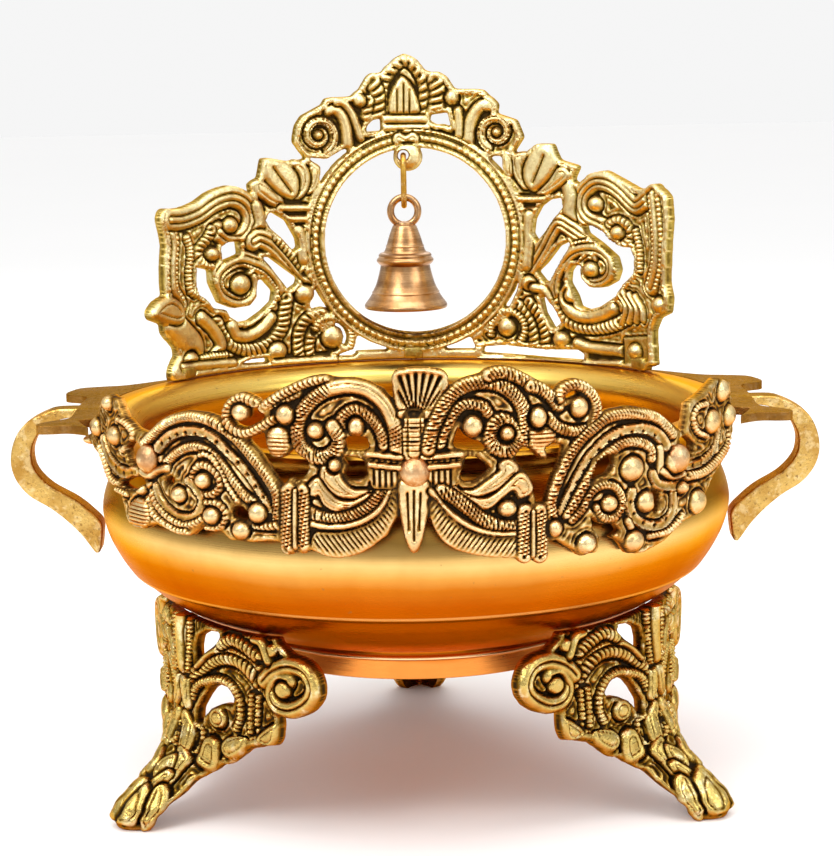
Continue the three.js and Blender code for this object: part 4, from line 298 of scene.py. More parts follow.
LEG = [
    ["poly",[[-3.72,87.7],[4.82,85.7],[15.5,84.7],[27.9,84.1],[40.9,83.5],[52,83.3],[53.5,79.2],[64.1,72.3],[73.1,68.2],[72.8,59.5],[61.4,53.8],[53,52.3],[54,46.9],[52.5,40.4],[44,36.4],[38.7,34.9],[32.9,29.8],[26.8,26.7],[23.7,23.2],[18.7,18.7],[19,12.3],[18.1,6.98],[13.5,2.88],[5.68,-0.5],[0.88,-0.5],[-3.17,5.49],[-8.61,9.1],[-10.8,11.2],[-9.65,15],[-10,17.9],[-8.23,22],[-5.75,24.8],[-7.3,28.4],[-7.95,36.5],[-4.83,46.1],[-3.73,59.2]],{"h":0.34}],
    ["poly",[[3.72,87.7],[-4.82,85.7],[-15.5,84.7],[-27.9,84.1],[-40.9,83.5],[-52,83.3],[-53.5,79.2],[-64.1,72.3],[-73.1,68.2],[-72.8,59.5],[-61.4,53.8],[-53,52.3],[-54,46.9],[-52.5,40.4],[-44,36.4],[-38.7,34.9],[-32.9,29.8],[-26.8,26.7],[-23.7,23.2],[-18.7,18.7],[-19,12.3],[-18.1,6.98],[-13.5,2.88],[-5.68,-0.5],[-0.88,-0.5],[3.17,5.49],[8.61,9.1],[10.8,11.2],[9.65,15],[10,17.9],[8.23,22],[5.75,24.8],[7.3,28.4],[7.95,36.5],[4.83,46.1],[3.73,59.2]],{"h":0.34}],
    ["hole",[[20.7,57.5],[26,57],[29.6,53.3],[28.8,50.6],[22.6,50.1],[16.5,47.1],[13,43.4],[12.1,41],[9.16,40.8],[9.31,46],[13.2,51.8],[16.3,55.3]],{}],
    ["hole",[[-20.7,57.5],[-26,57],[-29.6,53.3],[-28.8,50.6],[-22.6,50.1],[-16.5,47.1],[-13,43.4],[-12.1,41],[-9.16,40.8],[-9.31,46],[-13.2,51.8],[-16.3,55.3]],{}],
    ["hole",[[9.72,75.2],[15.2,78.2],[21.5,78.5],[22.1,76.2],[17.6,72.2],[11.6,68.2],[8.49,64.8],[8.43,70.9]],{}],
    ["hole",[[-9.72,75.2],[-15.2,78.2],[-21.5,78.5],[-22.1,76.2],[-17.6,72.2],[-11.6,68.2],[-8.49,64.8],[-8.43,70.9]],{}],
    ["rope",[[4.63,52.9],[9.05,61.3],[17.4,67.2],[25.5,69.7],[33.3,69.1],[40.1,65.2],[45.1,61],[51.9,58.4],[56.2,57.2]],{"w":4.86,"p":2.56}],
    ["rope",[[-4.63,52.9],[-9.05,61.3],[-17.4,67.2],[-25.5,69.7],[-33.3,69.1],[-40.1,65.2],[-45.1,61],[-51.9,58.4],[-56.2,57.2]],{"w":4.86,"p":2.56}],
    ["plain",[[9.14,63.2],[16.6,69.5],[25.6,72.8],[35.2,72.3],[42.9,69.1],[46.9,64.1]],{"w":1.92}],
    ["plain",[[-9.14,63.2],[-16.6,69.5],[-25.6,72.8],[-35.2,72.3],[-42.9,69.1],[-46.9,64.1]],{"w":1.92}],
    ["rope",[[23.1,74.4],[29.3,76.8],[36.2,75.2],[43,72.2]],{"w":3.56,"p":2.29}],
    ["rope",[[-23.1,74.4],[-29.3,76.8],[-36.2,75.2],[-43,72.2]],{"w":3.56,"p":2.29}],
    ["bead",[[5.62,49.2],[9.1,55.2],[16.2,58.6],[23.3,59.8],[29.5,57.7],[33.1,52.6],[33.3,46.4],[30.8,40.9]],{"w":3.16}],
    ["bead",[[-5.62,49.2],[-9.1,55.2],[-16.2,58.6],[-23.3,59.8],[-29.5,57.7],[-33.1,52.6],[-33.3,46.4],[-30.8,40.9]],{"w":3.16}],
    ["boss",[[50.8,76]],{"r":[2.95,2.64]}],
    ["boss",[[-50.8,76]],{"r":[2.95,2.64]}],
    ["bead",[[39.5,57.5],[39.3,49.9],[39.1,41.1]],{"w":2.38}],
    ["bead",[[-39.5,57.5],[-39.3,49.9],[-39.1,41.1]],{"w":2.38}],
    ["bead",[[43.4,57.5],[43.2,50.6],[42.9,44.9]],{"w":2.12}],
    ["bead",[[-43.4,57.5],[-43.2,50.6],[-42.9,44.9]],{"w":2.12}],
    ["band2",[[46.1,63.6],[51.4,68.3],[59.9,71.6],[68.2,70.5],[71.8,64.9],[68.7,58.8],[60.5,54.3],[52.9,54.8],[50.2,59.3],[53.8,64.3],[59.7,65.9]],{"w":5.27,"lines":1}],
    ["band2",[[-46.1,63.6],[-51.4,68.3],[-59.9,71.6],[-68.2,70.5],[-71.8,64.9],[-68.7,58.8],[-60.5,54.3],[-52.9,54.8],[-50.2,59.3],[-53.8,64.3],[-59.7,65.9]],{"w":5.27,"lines":1}],
    ["boss",[[56.6,61.5]],{"r":[3.91,3.62]}],
    ["boss",[[-56.6,61.5]],{"r":[3.91,3.62]}],
    ["petal",[[43,39.9],[48.9,45.4],[53.1,46.8],[52.6,41],[49.1,38.1]],{"rib":0}],
    ["petal",[[-43,39.9],[-48.9,45.4],[-53.1,46.8],[-52.6,41],[-49.1,38.1]],{"rib":0}],
    ["petal",[[26.1,33.2],[28.4,36.1],[37,38.2],[37.2,34],[29.7,30.9]],{"rib":0}],
    ["petal",[[-26.1,33.2],[-28.4,36.1],[-37,38.2],[-37.2,34],[-29.7,30.9]],{"rib":0}],
    ["boss",[[21.4,44.3]],{"r":[4.69,4.19],"ring":1}],
    ["boss",[[-21.4,44.3]],{"r":[4.69,4.19],"ring":1}],
    ["bead",[[14.7,34.9],[15.1,32.9],[14.4,30.8],[13,29],[11.2,27.7],[9.25,27.1],[6.84,27.1],[4.15,27.6],[1.73,28.8],[-0.17,30.3],[-1.56,32.2],[-2.23,34.1],[-2.07,36.1],[-1.06,37.7],[1.26,39.2],[4.01,40],[6.76,40.1],[9.25,39.6],[11.2,38.3],[13.2,36.8],[14.7,34.9]],{"w":1.91}],
    ["bead",[[-14.7,34.9],[-15.1,32.9],[-14.4,30.8],[-13,29],[-11.2,27.7],[-9.25,27.1],[-6.84,27.1],[-4.15,27.6],[-1.73,28.8],[0.17,30.3],[1.56,32.2],[2.23,34.1],[2.07,36.1],[1.06,37.7],[-1.26,39.2],[-4.01,40],[-6.76,40.1],[-9.25,39.6],[-11.2,38.3],[-13.2,36.8],[-14.7,34.9]],{"w":1.91}],
    ["boss",[[6.53,33.5]],{"r":[4.43,3.96]}],
    ["boss",[[-6.53,33.5]],{"r":[4.43,3.96]}],
    ["petal",[[17.6,34.8],[23.4,34],[24.4,27],[23.6,23.5],[15.7,24.5],[15.4,30.7]],{"rib":0}],
    ["petal",[[-17.6,34.8],[-23.4,34],[-24.4,27],[-23.6,23.5],[-15.7,24.5],[-15.4,30.7]],{"rib":0}],
    ["petal",[[-3.4,43.7],[-1.07,42.2],[-3.06,33.7],[-4.2,26.6],[-8.69,27.6],[-9.31,35.7]],{"rib":0}],
    ["petal",[[3.4,43.7],[1.07,42.2],[3.06,33.7],[4.2,26.6],[8.69,27.6],[9.31,35.7]],{"rib":0}],
    ["petal",[[5.11,28.4],[4.4,25.4],[4.79,19.8],[6.07,14.2],[11.1,15.1],[11.5,20.9],[12.2,25.2]],{"rib":0}],
    ["petal",[[-5.11,28.4],[-4.4,25.4],[-4.79,19.8],[-6.07,14.2],[-11.1,15.1],[-11.5,20.9],[-12.2,25.2]],{"rib":0}],
    ["petal",[[-5.06,24.9],[-1.11,22.1],[-0.93,18.2],[-3.92,16.5],[-7.23,21]],{"rib":0}],
    ["petal",[[5.06,24.9],[1.11,22.1],[0.93,18.2],[3.92,16.5],[7.23,21]],{"rib":0}],
    ["petal",[[-3.73,59.2],[-0.05,58.5],[-0.79,50.6],[-3.42,45],[-5.76,46.6],[-5.02,55.1]],{"rib":0}],
    ["petal",[[3.73,59.2],[0.05,58.5],[0.79,50.6],[3.42,45],[5.76,46.6],[5.02,55.1]],{"rib":0}],
    ["plain",[[-0.63,85.5],[0.72,76.1],[0.23,66.3],[-0.95,61]],{"w":3.91}],
    ["plain",[[0.63,85.5],[-0.72,76.1],[-0.23,66.3],[0.95,61]],{"w":3.91}],
    ["bead",[[5.67,84.5],[5.71,76.2],[4.81,67.1],[3.58,59.1]],{"w":2.6}],
    ["bead",[[-5.67,84.5],[-5.71,76.2],[-4.81,67.1],[-3.58,59.1]],{"w":2.6}],
    ["petal",[[-6.63,19.5],[-3.82,15.6],[-1.76,10.5],[-1.22,5.59],[-7.6,9.1],[-10.5,11],[-9.53,14.9],[-9.91,17.9]],{"rib":0}],
    ["petal",[[6.63,19.5],[3.82,15.6],[1.76,10.5],[1.22,5.59],[7.6,9.1],[10.5,11],[9.53,14.9],[9.91,17.9]],{"rib":0}],
    ["petal",[[6.2,12.4],[9.41,6.76],[6.59,2.64],[1.64,2.76],[-0.59,5.58],[-1.2,11.1],[-1.36,15.2]],{"rib":0}],
    ["petal",[[-6.2,12.4],[-9.41,6.76],[-6.59,2.64],[-1.64,2.76],[0.59,5.58],[1.2,11.1],[1.36,15.2]],{"rib":0}],
    ["petal",[[9.87,15],[16.6,9.97],[15.3,3.93],[9.06,-0.5],[10.3,7.43],[7.38,13]],{"rib":0}],
    ["petal",[[-9.87,15],[-16.6,9.97],[-15.3,3.93],[-9.06,-0.5],[-10.3,7.43],[-7.38,13]],{"rib":0}],
    ["plain",[[41.5,79.2],[45.8,78],[48.9,71.7]],{"w":2.9}],
    ["plain",[[-41.5,79.2],[-45.8,78],[-48.9,71.7]],{"w":2.9}],
]



# ------------------------------------------------------------------ relief engine
def smooth_line(P, closed=False, step=0.6):
    P = np.asarray(P, float)
    if len(P) < 3:
        n = max(2, int(np.hypot(*(P[-1]-P[0]))/step)+1)
        t = np.linspace(0, 1, n)[:, None]
        return P[0]*(1-t)+P[-1]*t
    Q = np.vstack([2*P[0]-P[1], P, 2*P[-1]-P[-2]])
    if closed:
        Q = np.vstack([P[-1], P, P[0], P[1]])
    out = []
    for i in range(1, len(Q)-2):
        a, b, c, d = Q[i-1], Q[i], Q[i+1], Q[i+2]
        n = max(1, int(np.ceil(np.hypot(*(c-b))/step)))
        t = (np.arange(n)/n)[:, None]
        out.append(0.5*((2*b)+(c-a)*t+(2*a-5*b+4*c-d)*t*t+(3*b-a-3*c+d)*t**3))
    out.append(Q[-2][None])
    return np.vstack(out)
def line_field(L, X, Y):
    """distance, arc length and signed side of a polyline on a window of the grid"""
    seg = np.hypot(*np.diff(L, axis=0).T)
    s0 = np.concatenate([[0], np.cumsum(seg)])
    best = np.full(X.shape, 1e9); arc = np.zeros(X.shape); side = np.zeros(X.shape)
    for i in range(len(L)-1):
        ax, ay = L[i]; dx, dy = L[i+1]-L[i]; l2 = dx*dx+dy*dy
        if l2 < 1e-12:
            continue
        t = np.clip(((X-ax)*dx+(Y-ay)*dy)/l2, 0, 1)
        ex = X-ax-t*dx; ey = Y-ay-t*dy
        d = np.sqrt(ex*ex+ey*ey)
        m = d < best
        best[m] = d[m]; arc[m] = (s0[i]+t*np.sqrt(l2))[m]; side[m] = np.sign(ey*dx-ex*dy)[m]
    return best, arc, side*best, s0[-1]
def poly_field(P, X, Y):
    """signed distance to a closed polygon, positive inside"""
    P = np.asarray(P, float)
    ins = np.zeros(X.shape, bool); best = np.full(X.shape, 1e9)
    n = len(P)
    for i in range(n):
        ax, ay = P[i]; bx, by = P[(i+1) % n]
        dx, dy = bx-ax, by-ay; l2 = dx*dx+dy*dy+1e-12
        t = np.clip(((X-ax)*dx+(Y-ay)*dy)/l2, 0, 1)
        best = np.minimum(best, np.hypot(X-ax-t*dx, Y-ay-t*dy))
        if ay != by:
            c = ((ay > Y) != (by > Y)) & (X < dx*(Y-ay)/(by-ay)+ax)
            ins ^= c
    return np.where(ins, best, -best)
def blur(a, k):
    for ax in (0, 1):
        for _ in range(2):
            c = np.cumsum(np.pad(a, [(k+1, k) if i == ax else (0, 0) for i in (0, 1)], mode='edge'), axis=ax)
            a = (np.take(c, range(2*k+1, c.shape[ax]), axis=ax)-np.take(c, range(0, c.shape[ax]-2*k-1), axis=ax))/(2*k+1)
    return a
class Relief:
    """height field h (mm above the plate's back) and coverage c (mm inside the outline)"""
    def __init__(s, u0, u1, v0, v1, step, base, top):
        s.step = step; s.u = np.arange(u0, u1+step, step); s.v = np.arange(v0, v1+step, step)
        s.X, s.Y = np.meshgrid(s.u, s.v)
        s.c = np.full(s.X.shape, -9.0); s.h = np.full(s.X.shape, 0.0); s.base = base; s.top = top
        s.hole = np.full(s.X.shape, 9.0); s.late = []; s.keep = []; s.lip = 0.4
    def win(s, P, m):
        P = np.asarray(P, float)
        i0 = np.searchsorted(s.u, P[:, 0].min()-m); i1 = np.searchsorted(s.u, P[:, 0].max()+m)
        j0 = np.searchsorted(s.v, P[:, 1].min()-m); j1 = np.searchsorted(s.v, P[:, 1].max()+m)
        return (slice(max(j0, 0), max(j1, 0)), slice(max(i0, 0), max(i1, 0)))
    def lay(s, w, d, h, moat=1.0, low=0.42):
        """lay a piece with signed distance d (positive inside) and height h over what is there"""
        H = s.h[w]; C = s.c[w]
        out = -d
        m = (out > 0) & (out < moat)
        H[m] = np.minimum(H[m], s.top*low+(s.top*(1.0-low))*(out[m]/moat)**1.2)
        i = d > 0
        H[i] = h[i]
        s.h[w] = H; s.c[w] = np.maximum(C, d)
    def draw(s, k, P, o):
        T = s.top
        if k in ('poly', 'polyc'):
            w = s.win(P, 2)
            if s.X[w].size == 0: return
            d = poly_field(P, s.X[w], s.Y[w]); hh = o.get('h', 0.3)*T
            H = s.h[w]; i = d > 0
            if hh > 0.5*T:
                s.lay(w, d, np.full(d.shape, hh)*np.clip(0.6+d/1.5, 0.6, 1))
            else:
                H[i] = np.maximum(H[i], hh); s.h[w] = H; s.c[w] = np.maximum(s.c[w], d)
            return
        if k in ('hole', 'hole_e'):
            w = s.win(P, 3)
            s.late.append((w, poly_field(P, s.X[w], s.Y[w])))
            return
        if k == 'boss' or k == 'lug':
            (cx, cy) = P[0]; rx, ry = [1.02*a for a in o['r']]
            w = s.win([(cx-rx, cy-ry), (cx+rx, cy+ry)], 3)
            x = (s.X[w]-cx)/rx; y = (s.Y[w]-cy)/ry; q = np.sqrt(x*x+y*y); r = min(rx, ry)
            d = (1-q)*r
            h = T*(0.5+0.62*np.sqrt(np.clip(1-q*q, 0, 1)))
            if o.get('ring'):
                h = h-0.28*T*np.exp(-((q-0.55)/0.12)**2)
            s.lay(w, d, h, 1.3, 0.3)
            if k == 'lug':
                ex, ey, er = o['eye']
                s.eye = o['eye']; s.keep.append((w, np.minimum(d, np.hypot(s.X[w]-ex, s.Y[w]-ey)-er), h))
            return
        if k in ('petal', 'hatch', 'fan'):
            w = s.win(P, 3)
            if s.X[w].size == 0: return
            X, Y = s.X[w], s.Y[w]; d = poly_field(smooth_line(P, True, 1.2), X, Y)+0.45
            wd = max(0.8, min(2.6, 0.8*float(d.max())))
            q = np.clip(d/wd, 0, 1)
            h = T*(0.58+0.36*np.sqrt(1-(1-q)**2))
            if k == 'petal' and not o.get('lines'):
                if o.get('rib'):
                    c = P.mean(0); t = (Y-c[1])/1.45
                    h = h-0.22*T*np.exp(-(((t+0.5) % 1-0.5)/0.17)**2)*(q > 0.1)
                elif d.max() > 2.2:
                    h = h-0.2*T*np.exp(-((d-0.55*d.max())/0.28)**2)
            if k == 'hatch':
                a = np.radians(o['ang']); t = (X*np.sin(a)-Y*np.cos(a))/o['p']
                g = np.exp(-(((t+0.5) % 1-0.5)/0.2)**2)
                g = g*np.clip((d-0.5)/0.7, 0, 1)
                h = T*(0.62+0.16*q)-0.3*T*g
            if k == 'fan':
                cx, cy = o['c']; an = np.arctan2(X-cx, Y-cy); t = an/0.155
                g = np.exp(-(((t+0.5) % 1-0.5)/0.17)**2)*np.clip((d-1.6)/0.6, 0, 1)
                h = T*(0.74+0.2*np.exp(-((d-0.8)/0.7)**2))-0.45*T*g
            for ln in o.get('lines', []) if isinstance(o.get('lines'), list) else []:
                q2, _, _, _ = line_field(smooth_line(ln), X, Y)
                h = h-0.3*T*np.exp(-(q2/0.42)**2)
            s.lay(w, d, h, 0.9)
            return
        # strokes
        g_ = {'rope': 1.5, 'scroll': 1.4, 'band': 1.22, 'band2': 1.3, 'ladder': 1.2, 'plain': 1.45, 'bead': 1.25}.get(k, 1.0)
        L = smooth_line(P); r = 0.5*g_*o['w']; r2 = 0.5*g_*o.get('w2', o['w'])
        if r <= 0: return
        w = s.win(L, r+2)
        if s.X[w].size == 0: return
        D, S, sd, tot = line_field(L, s.X[w], s.Y[w])
        rr = r+(r2-r)*np.clip(S/tot, 0, 1)
        q = np.clip(D/rr, 0, 1.2); d = rr-D
        rnd = np.sqrt(np.clip(1-q*q, 0, 1))
        p = o.get('p', 1.9)
        if k == 'rope':
            t = (S+0.35*sd)/p
            g = np.exp(-(((t+0.5) % 1-0.5)/0.19)**2)
            h = T*(0.5+0.46*rnd-0.46*g*np.clip(1.35-q, 0, 1))
        elif k == 'scroll':
            t = (S+0.35*sd)/p
            g = np.exp(-(((t+0.5) % 1-0.5)/0.19)**2)
            fr = S/tot; on = np.zeros(D.shape)
            for a0, a1 in o['ribs']:
                on = np.maximum(on, np.clip((fr-a0)/0.03, 0, 1)*np.clip((a1-fr)/0.03, 0, 1))
            h = T*(0.5+0.48*rnd-0.46*g*on*np.clip(1.35-q, 0, 1)-0.2*(1-on)*np.exp(-((sd/rr+0.35)/0.12)**2))
        elif k in ('bead', 'beadring'):
            n = max(1, round(tot/(1.75 if k == 'bead' else 2*rr.max()*0.62))); pp = tot/n
            t = (S % pp)-pp/2
            h = T*(0.46+0.5*np.sqrt(np.clip(1-(t/(0.52*pp))**2-q*q*0.9, 0, 1)))
            if k == 'beadring':
                h = T*(0.60+0.16*rnd)-0.16*T*np.exp(-((q-0.62)/0.12)**2)+0.26*T*np.sqrt(np.clip(1-(t/(0.46*pp))**2-(q/0.5)**2, 0, 1))
        elif k == 'band':
            edge = np.exp(-((q-0.82)/0.14)**2)
            h = T*(0.66+0.2*edge)*np.where(q > 0.97, 0.85, 1)
            for (x, y) in o.get('d', []):
                xx = s.X[w]-x; yy = s.Y[w]-y
                h = h-0.4*T*np.clip(1.25-(np.abs(xx)/0.95+np.abs(yy)/0.75), 0, 1)
            if o.get('beads'):
                t = ((S/1.9+0.5) % 1-0.5)*1.9
                h = T*(0.6+0.3*rnd)-0.3*T*np.exp(-((np.abs(sd)/rr-0.45)/0.1)**2)
                h = h+0.22*T*np.sqrt(np.clip(1-(t/0.8)**2-((sd/rr-0.75)/0.22)**2, 0, 1))
            if o.get('lad'):
                t = ((S/2.1+0.5) % 1-0.5)
                h = T*(0.56+0.36*rnd)-0.3*T*np.exp(-((np.abs(sd)/rr-0.38)/0.09)**2)
                h = h-0.22*T*np.exp(-(t/0.16)**2)*(np.abs(sd)/rr > 0.42)
        elif k == 'band2':
            n = o.get('lines', 2)
            x = sd/rr
            h = T*(0.56+0.38*rnd)
            for c in ([0.0] if n == 1 else [-0.33, 0.33]):
                h = h-0.3*T*np.exp(-((x-c)/0.1)**2)
        elif k == 'ladder':
            t = S/p
            h = T*(0.52+0.34*np.clip(np.abs(np.sin(np.pi*t))*1.6, 0, 1))-0.25*T*np.exp(-((q-0.62)/0.09)**2)
        else:
            h = T*(0.52+0.4*rnd)
        s.lay(w, d, h, 0.9 if k != 'ringpl' else 0.6)
    def fill(s):
        """low ground between the strokes: raised again away from them, with fine lines that follow them"""
        T = s.top
        low = (s.h < 0.5*T)
        D = np.where(low, 9.0, 0.0)
        for _ in range(14):
            n = D.copy()
            for dj, di, l in ((0, 1, 1), (0, -1, 1), (1, 0, 1), (-1, 0, 1), (1, 1, 1.414), (1, -1, 1.414), (-1, 1, 1.414), (-1, -1, 1.414)):
                n = np.minimum(n, np.roll(np.roll(D, dj, 0), di, 1)+l*s.step)
            D = np.where(low, n, 0.0)
        D = blur(D, 1)
        q = np.clip((D-0.55)/0.8, 0, 1); q = q*q*(3-2*q)
        lines = np.clip(np.cos(2*np.pi*(D-1.35)/1.7), -1, 1)
        wave = np.sin(0.9*s.X+1.7*np.sin(0.55*s.Y))*np.sin(0.8*s.Y+1.3*np.sin(0.6*s.X))
        f = T*(0.36+q*(0.24+0.085*lines*(D > 1.1)+0.05*wave))
        c = np.clip(s.c/1.2, 0, 1)
        f = f*(0.72+0.28*c)
        s.h = np.where(low, np.maximum(s.h, f), s.h)
    def finish(s, seed=3):
        s.fill()
        for w, d in s.late:
            H = s.hole[w]; s.hole[w] = np.minimum(H, -d)
            m = (d > -1.1) & (d <= 0)
            hh = s.h[w]; hh[m] = np.minimum(hh[m], s.top*(0.5+0.5*(-d[m]/1.1))); s.h[w] = hh
        k = max(1, int(round(0.7/s.step)))
        m = blur((s.c > 0).astype(float), k)
        s.c = np.maximum(s.c, (m-0.42)*2.2)
        s.c = np.minimum(s.c, s.hole)
        for w, d, h in s.keep:
            inside = np.hypot(s.X[w]-s.eye[0], s.Y[w]-s.eye[1]) < s.eye[2]
            s.c[w] = np.where(inside, d, np.maximum(s.c[w], d))
            H = s.h[w]; H[d > 0] = h[d > 0]; s.h[w] = H
        s.c[0, :] = s.c[-1, :] = s.c[:, 0] = s.c[:, -1] = -1
        e = blur(np.clip(s.c, 0, 4), 1)
        e = np.where(s.c > 0, e, 0)
        q = np.clip(e/1.2, 0, 1)
        lip = s.top*(0.40+s.lip*np.sqrt(1-(1-q)**2))
        fade = np.clip((2.5-e)/0.5, 0, 1)
        s.h = np.where((e > 0) & (s.h < 0.62*s.top), np.maximum(s.h, lip*(0.55+0.45*fade)*(e < 2.5)), s.h)
        s.h = np.maximum(s.h, s.base)
        k2 = max(1, int(round(0.35/s.step)))
        sm = blur(s.h, k2)
        s.h = 0.6*s.h+0.4*sm
        return s



def relief(data, base, top, step, v0=None, lip=0.4):
    pts = np.vstack([np.array(d[1], float) for d in data if d[0] != "hole_e"])
    (u0, va), (u1, v1) = pts.min(0) - 4, pts.max(0) + 4
    R = Relief(u0, u1, va if v0 is None else v0, v1, step, base, top)
    for kind, P, o in data:
        R.draw(kind, np.array(P, float), o)
    R.lip = lip
    R.finish()
    return R


def patina(R):
    """0 in recesses, 1 on rubbed high parts"""
    h = R.h / R.top
    k1, k2 = max(1, round(1.1 / R.step)), max(1, round(2.6 / R.step))
    g = 0.56 + 0.85 * (h - 0.64) + 3.4 * (h - blur(h, k1)) + 1.2 * (h - blur(h, k2))
    return np.clip(g, 0, 1)


# ------------------------------------------------------------------ mesh helpers
def new_object(name, co, faces, attributes=None, smooth=True, angle=50, body="stand"):
    """faces is an (n, 4) or (n, 3) array, or a list of lists"""
    me = bpy.data.meshes.new(name)
    if isinstance(faces, np.ndarray):
        n, k = faces.shape
        me.vertices.add(len(co))
        me.vertices.foreach_set("co", np.ascontiguousarray(co, np.float32).ravel())
        me.loops.add(n * k)
        me.loops.foreach_set("vertex_index", np.ascontiguousarray(faces, np.int32).ravel())
        me.polygons.add(n)
        me.polygons.foreach_set("loop_start", np.arange(0, n * k, k, dtype=np.int32))
        me.polygons.foreach_set("loop_total", np.full(n, k, np.int32))
        me.update(calc_edges=True)
    else:
        me.from_pydata([tuple(p) for p in co], [], faces)
    for key, val in (attributes or {}).items():
        a = me.attributes.new(key, "FLOAT", "POINT")
        a.data.foreach_set("value", np.ascontiguousarray(val, np.float32))
    if smooth:
        me.shade_smooth()
        if angle:
            me.set_sharp_from_angle(angle=math.radians(angle))
    o = bpy.data.objects.new(name, me)
    bpy.context.scene.collection.objects.link(o)
    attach(o, body)
    return o


def relief_object(name, R, place, edge=0.8, hmin=None, body="stand", extra=(), lift=0.0, hollow=1.2):
    ny, nx = R.c.shape
    cs = blur(R.c, 1)
    cell = (R.c[:-1, :-1] + R.c[1:, :-1] + R.c[:-1, 1:] + R.c[1:, 1:]) > 0
    # drop lone cells, fill pin holes
    pad = np.pad(cell, 1)
    nb = pad[:-2, 1:-1].astype(int) + pad[2:, 1:-1] + pad[1:-1, :-2] + pad[1:-1, 2:]
    cell = (cell & (nb > 1)) | (nb == 4)
    full = np.zeros((ny, nx), int)
    for a in (0, 1):
        for b in (0, 1):
            full[a:ny - 1 + a, b:nx - 1 + b] += cell
    used = full > 0
    rim = used & (full < 4)
    gy, gx = np.gradient(cs, R.step)
    g2 = np.maximum(gx * gx + gy * gy, 0.15)
    U, V = R.X.copy(), R.Y.copy()
    du, dv = -R.c * gx / g2, -R.c * gy / g2
    ln = np.maximum(np.hypot(du, dv), 1e-9)
    lim = np.minimum(1.0, 0.85 * R.step / ln)
    U[rim] += (du * lim)[rim]
    V[rim] += (dv * lim)[rim]
    rf = rim.astype(float)
    for _ in range(4):
        cnt = np.zeros_like(rf)
        su, sv = np.zeros_like(U), np.zeros_like(V)
        for dj, di in ((0, 1), (0, -1), (1, 0), (-1, 0)):
            m = np.roll(rf, (dj, di), (0, 1))
            cnt += m
            su += m * np.roll(U, (dj, di), (0, 1))
            sv += m * np.roll(V, (dj, di), (0, 1))
        ok = rim & (cnt > 1.5)
        U[ok] = 0.5 * U[ok] + 0.5 * (su / np.maximum(cnt, 1))[ok]
        V[ok] = 0.5 * V[ok] + 0.5 * (sv / np.maximum(cnt, 1))[ok]
    H = R.h.copy()
    H[rim] = H[rim] * edge
    P = np.clip(patina(R) + lift, 0, 1)
    P[rim] = 0.55 * P[rim] + 0.24
    if hmin is not None:
        V = np.maximum(V, hmin)
    idx = -np.ones((ny, nx), int)
    idx[used] = np.arange(used.sum())
    n = int(used.sum())
    u, v, h, p = U[used], V[used], H[used], P[used]
    # the back is hollowed a little behind the raised parts, as a thin casting is
    soft = blur(R.h / R.top, 2)
    deep = np.clip((soft - 0.46) / 0.34, 0, 1)
    HB = hollow * deep * deep * (3 - 2 * deep) * np.clip(cs / 2.2, 0, 1)
    HB[rim] = 0
    PB = np.clip(0.66 - 0.42 * HB / max(hollow, 0.01) + 1.1 * (blur(HB, 3) - HB), 0.12, 0.9)
    PB[rim] = 0.6
    hb, pb = HB[used], PB[used]
    topc, botc = place(u, v, h), place(u, v, hb)
    J, I = np.nonzero(cell)
    a, b, c, d = idx[J, I], idx[J, I + 1], idx[J + 1, I + 1], idx[J + 1, I]
    top = np.stack([a, b, c, d], 1)
    bot = np.stack([a, d, c, b], 1) + n
    walls = []
    pc = np.pad(cell, 1)
    for (dj, di, p0, p1) in ((-1, 0, (0, 0), (0, 1)), (0, 1, (0, 1), (1, 1)), (1, 0, (1, 1), (1, 0)), (0, -1, (1, 0), (0, 0))):
        open_ = cell & ~pc[1 + dj:ny + dj, 1 + di:nx + di]
        j, i = np.nonzero(open_)
        e0, e1 = idx[j + p0[0], i + p0[1]], idx[j + p1[0], i + p1[1]]
        walls.append(np.stack([e0, e0 + n, e1 + n, e1], 1))
    faces = np.vstack([top, bot, *walls])
    co = np.vstack([topc, botc]) * MM
    pat = np.concatenate([p, pb])
    side = np.concatenate([np.zeros(n), np.ones(n)])
    for c, f, val in extra:
        faces = np.vstack([faces, f + len(co)])
        co = np.vstack([co, c * MM])
        pat = np.concatenate([pat, np.full(len(c), val)])
        side = np.concatenate([side, np.zeros(len(c))])
    return new_object(name, co, faces, {"pat": pat, "side": side}, angle=62, body=body)


def spline(P, step=1.0, closed=False):
    return smooth_line(P, closed, step)


def profile(runs, step=1.0):
    """runs of [r, z] points: smooth inside a run, sharp between runs"""
    out = []
    for run in runs:
        L = spline(run, step) if len(run) > 2 else np.array(run, float)
        out.append(L if not out else L[1:])
    return np.vstack(out)


def soften(P, r=0.3, keep=30):
    """rounds the sharp corners of an open polyline a little"""
    P = np.asarray(P, float)
    out = [P[0]]
    for i in range(1, len(P) - 1):
        a, b, c = P[i - 1], P[i], P[i + 1]
        d1, d2 = a - b, c - b
        l1, l2 = np.hypot(*d1), np.hypot(*d2)
        cosang = (d1 @ d2) / (l1 * l2 + 1e-12)
        if cosang > -math.cos(math.radians(keep)):
            k = min(r, 0.4 * l1, 0.4 * l2)
            p, q = b + d1 / l1 * k, b + d2 / l2 * k
            for t in (0, 0.33, 0.67, 1):
                out.append((1 - t) ** 2 * p + 2 * t * (1 - t) * b + t * t * q)
        else:
            out.append(b)
    out.append(P[-1])
    return np.array(out)


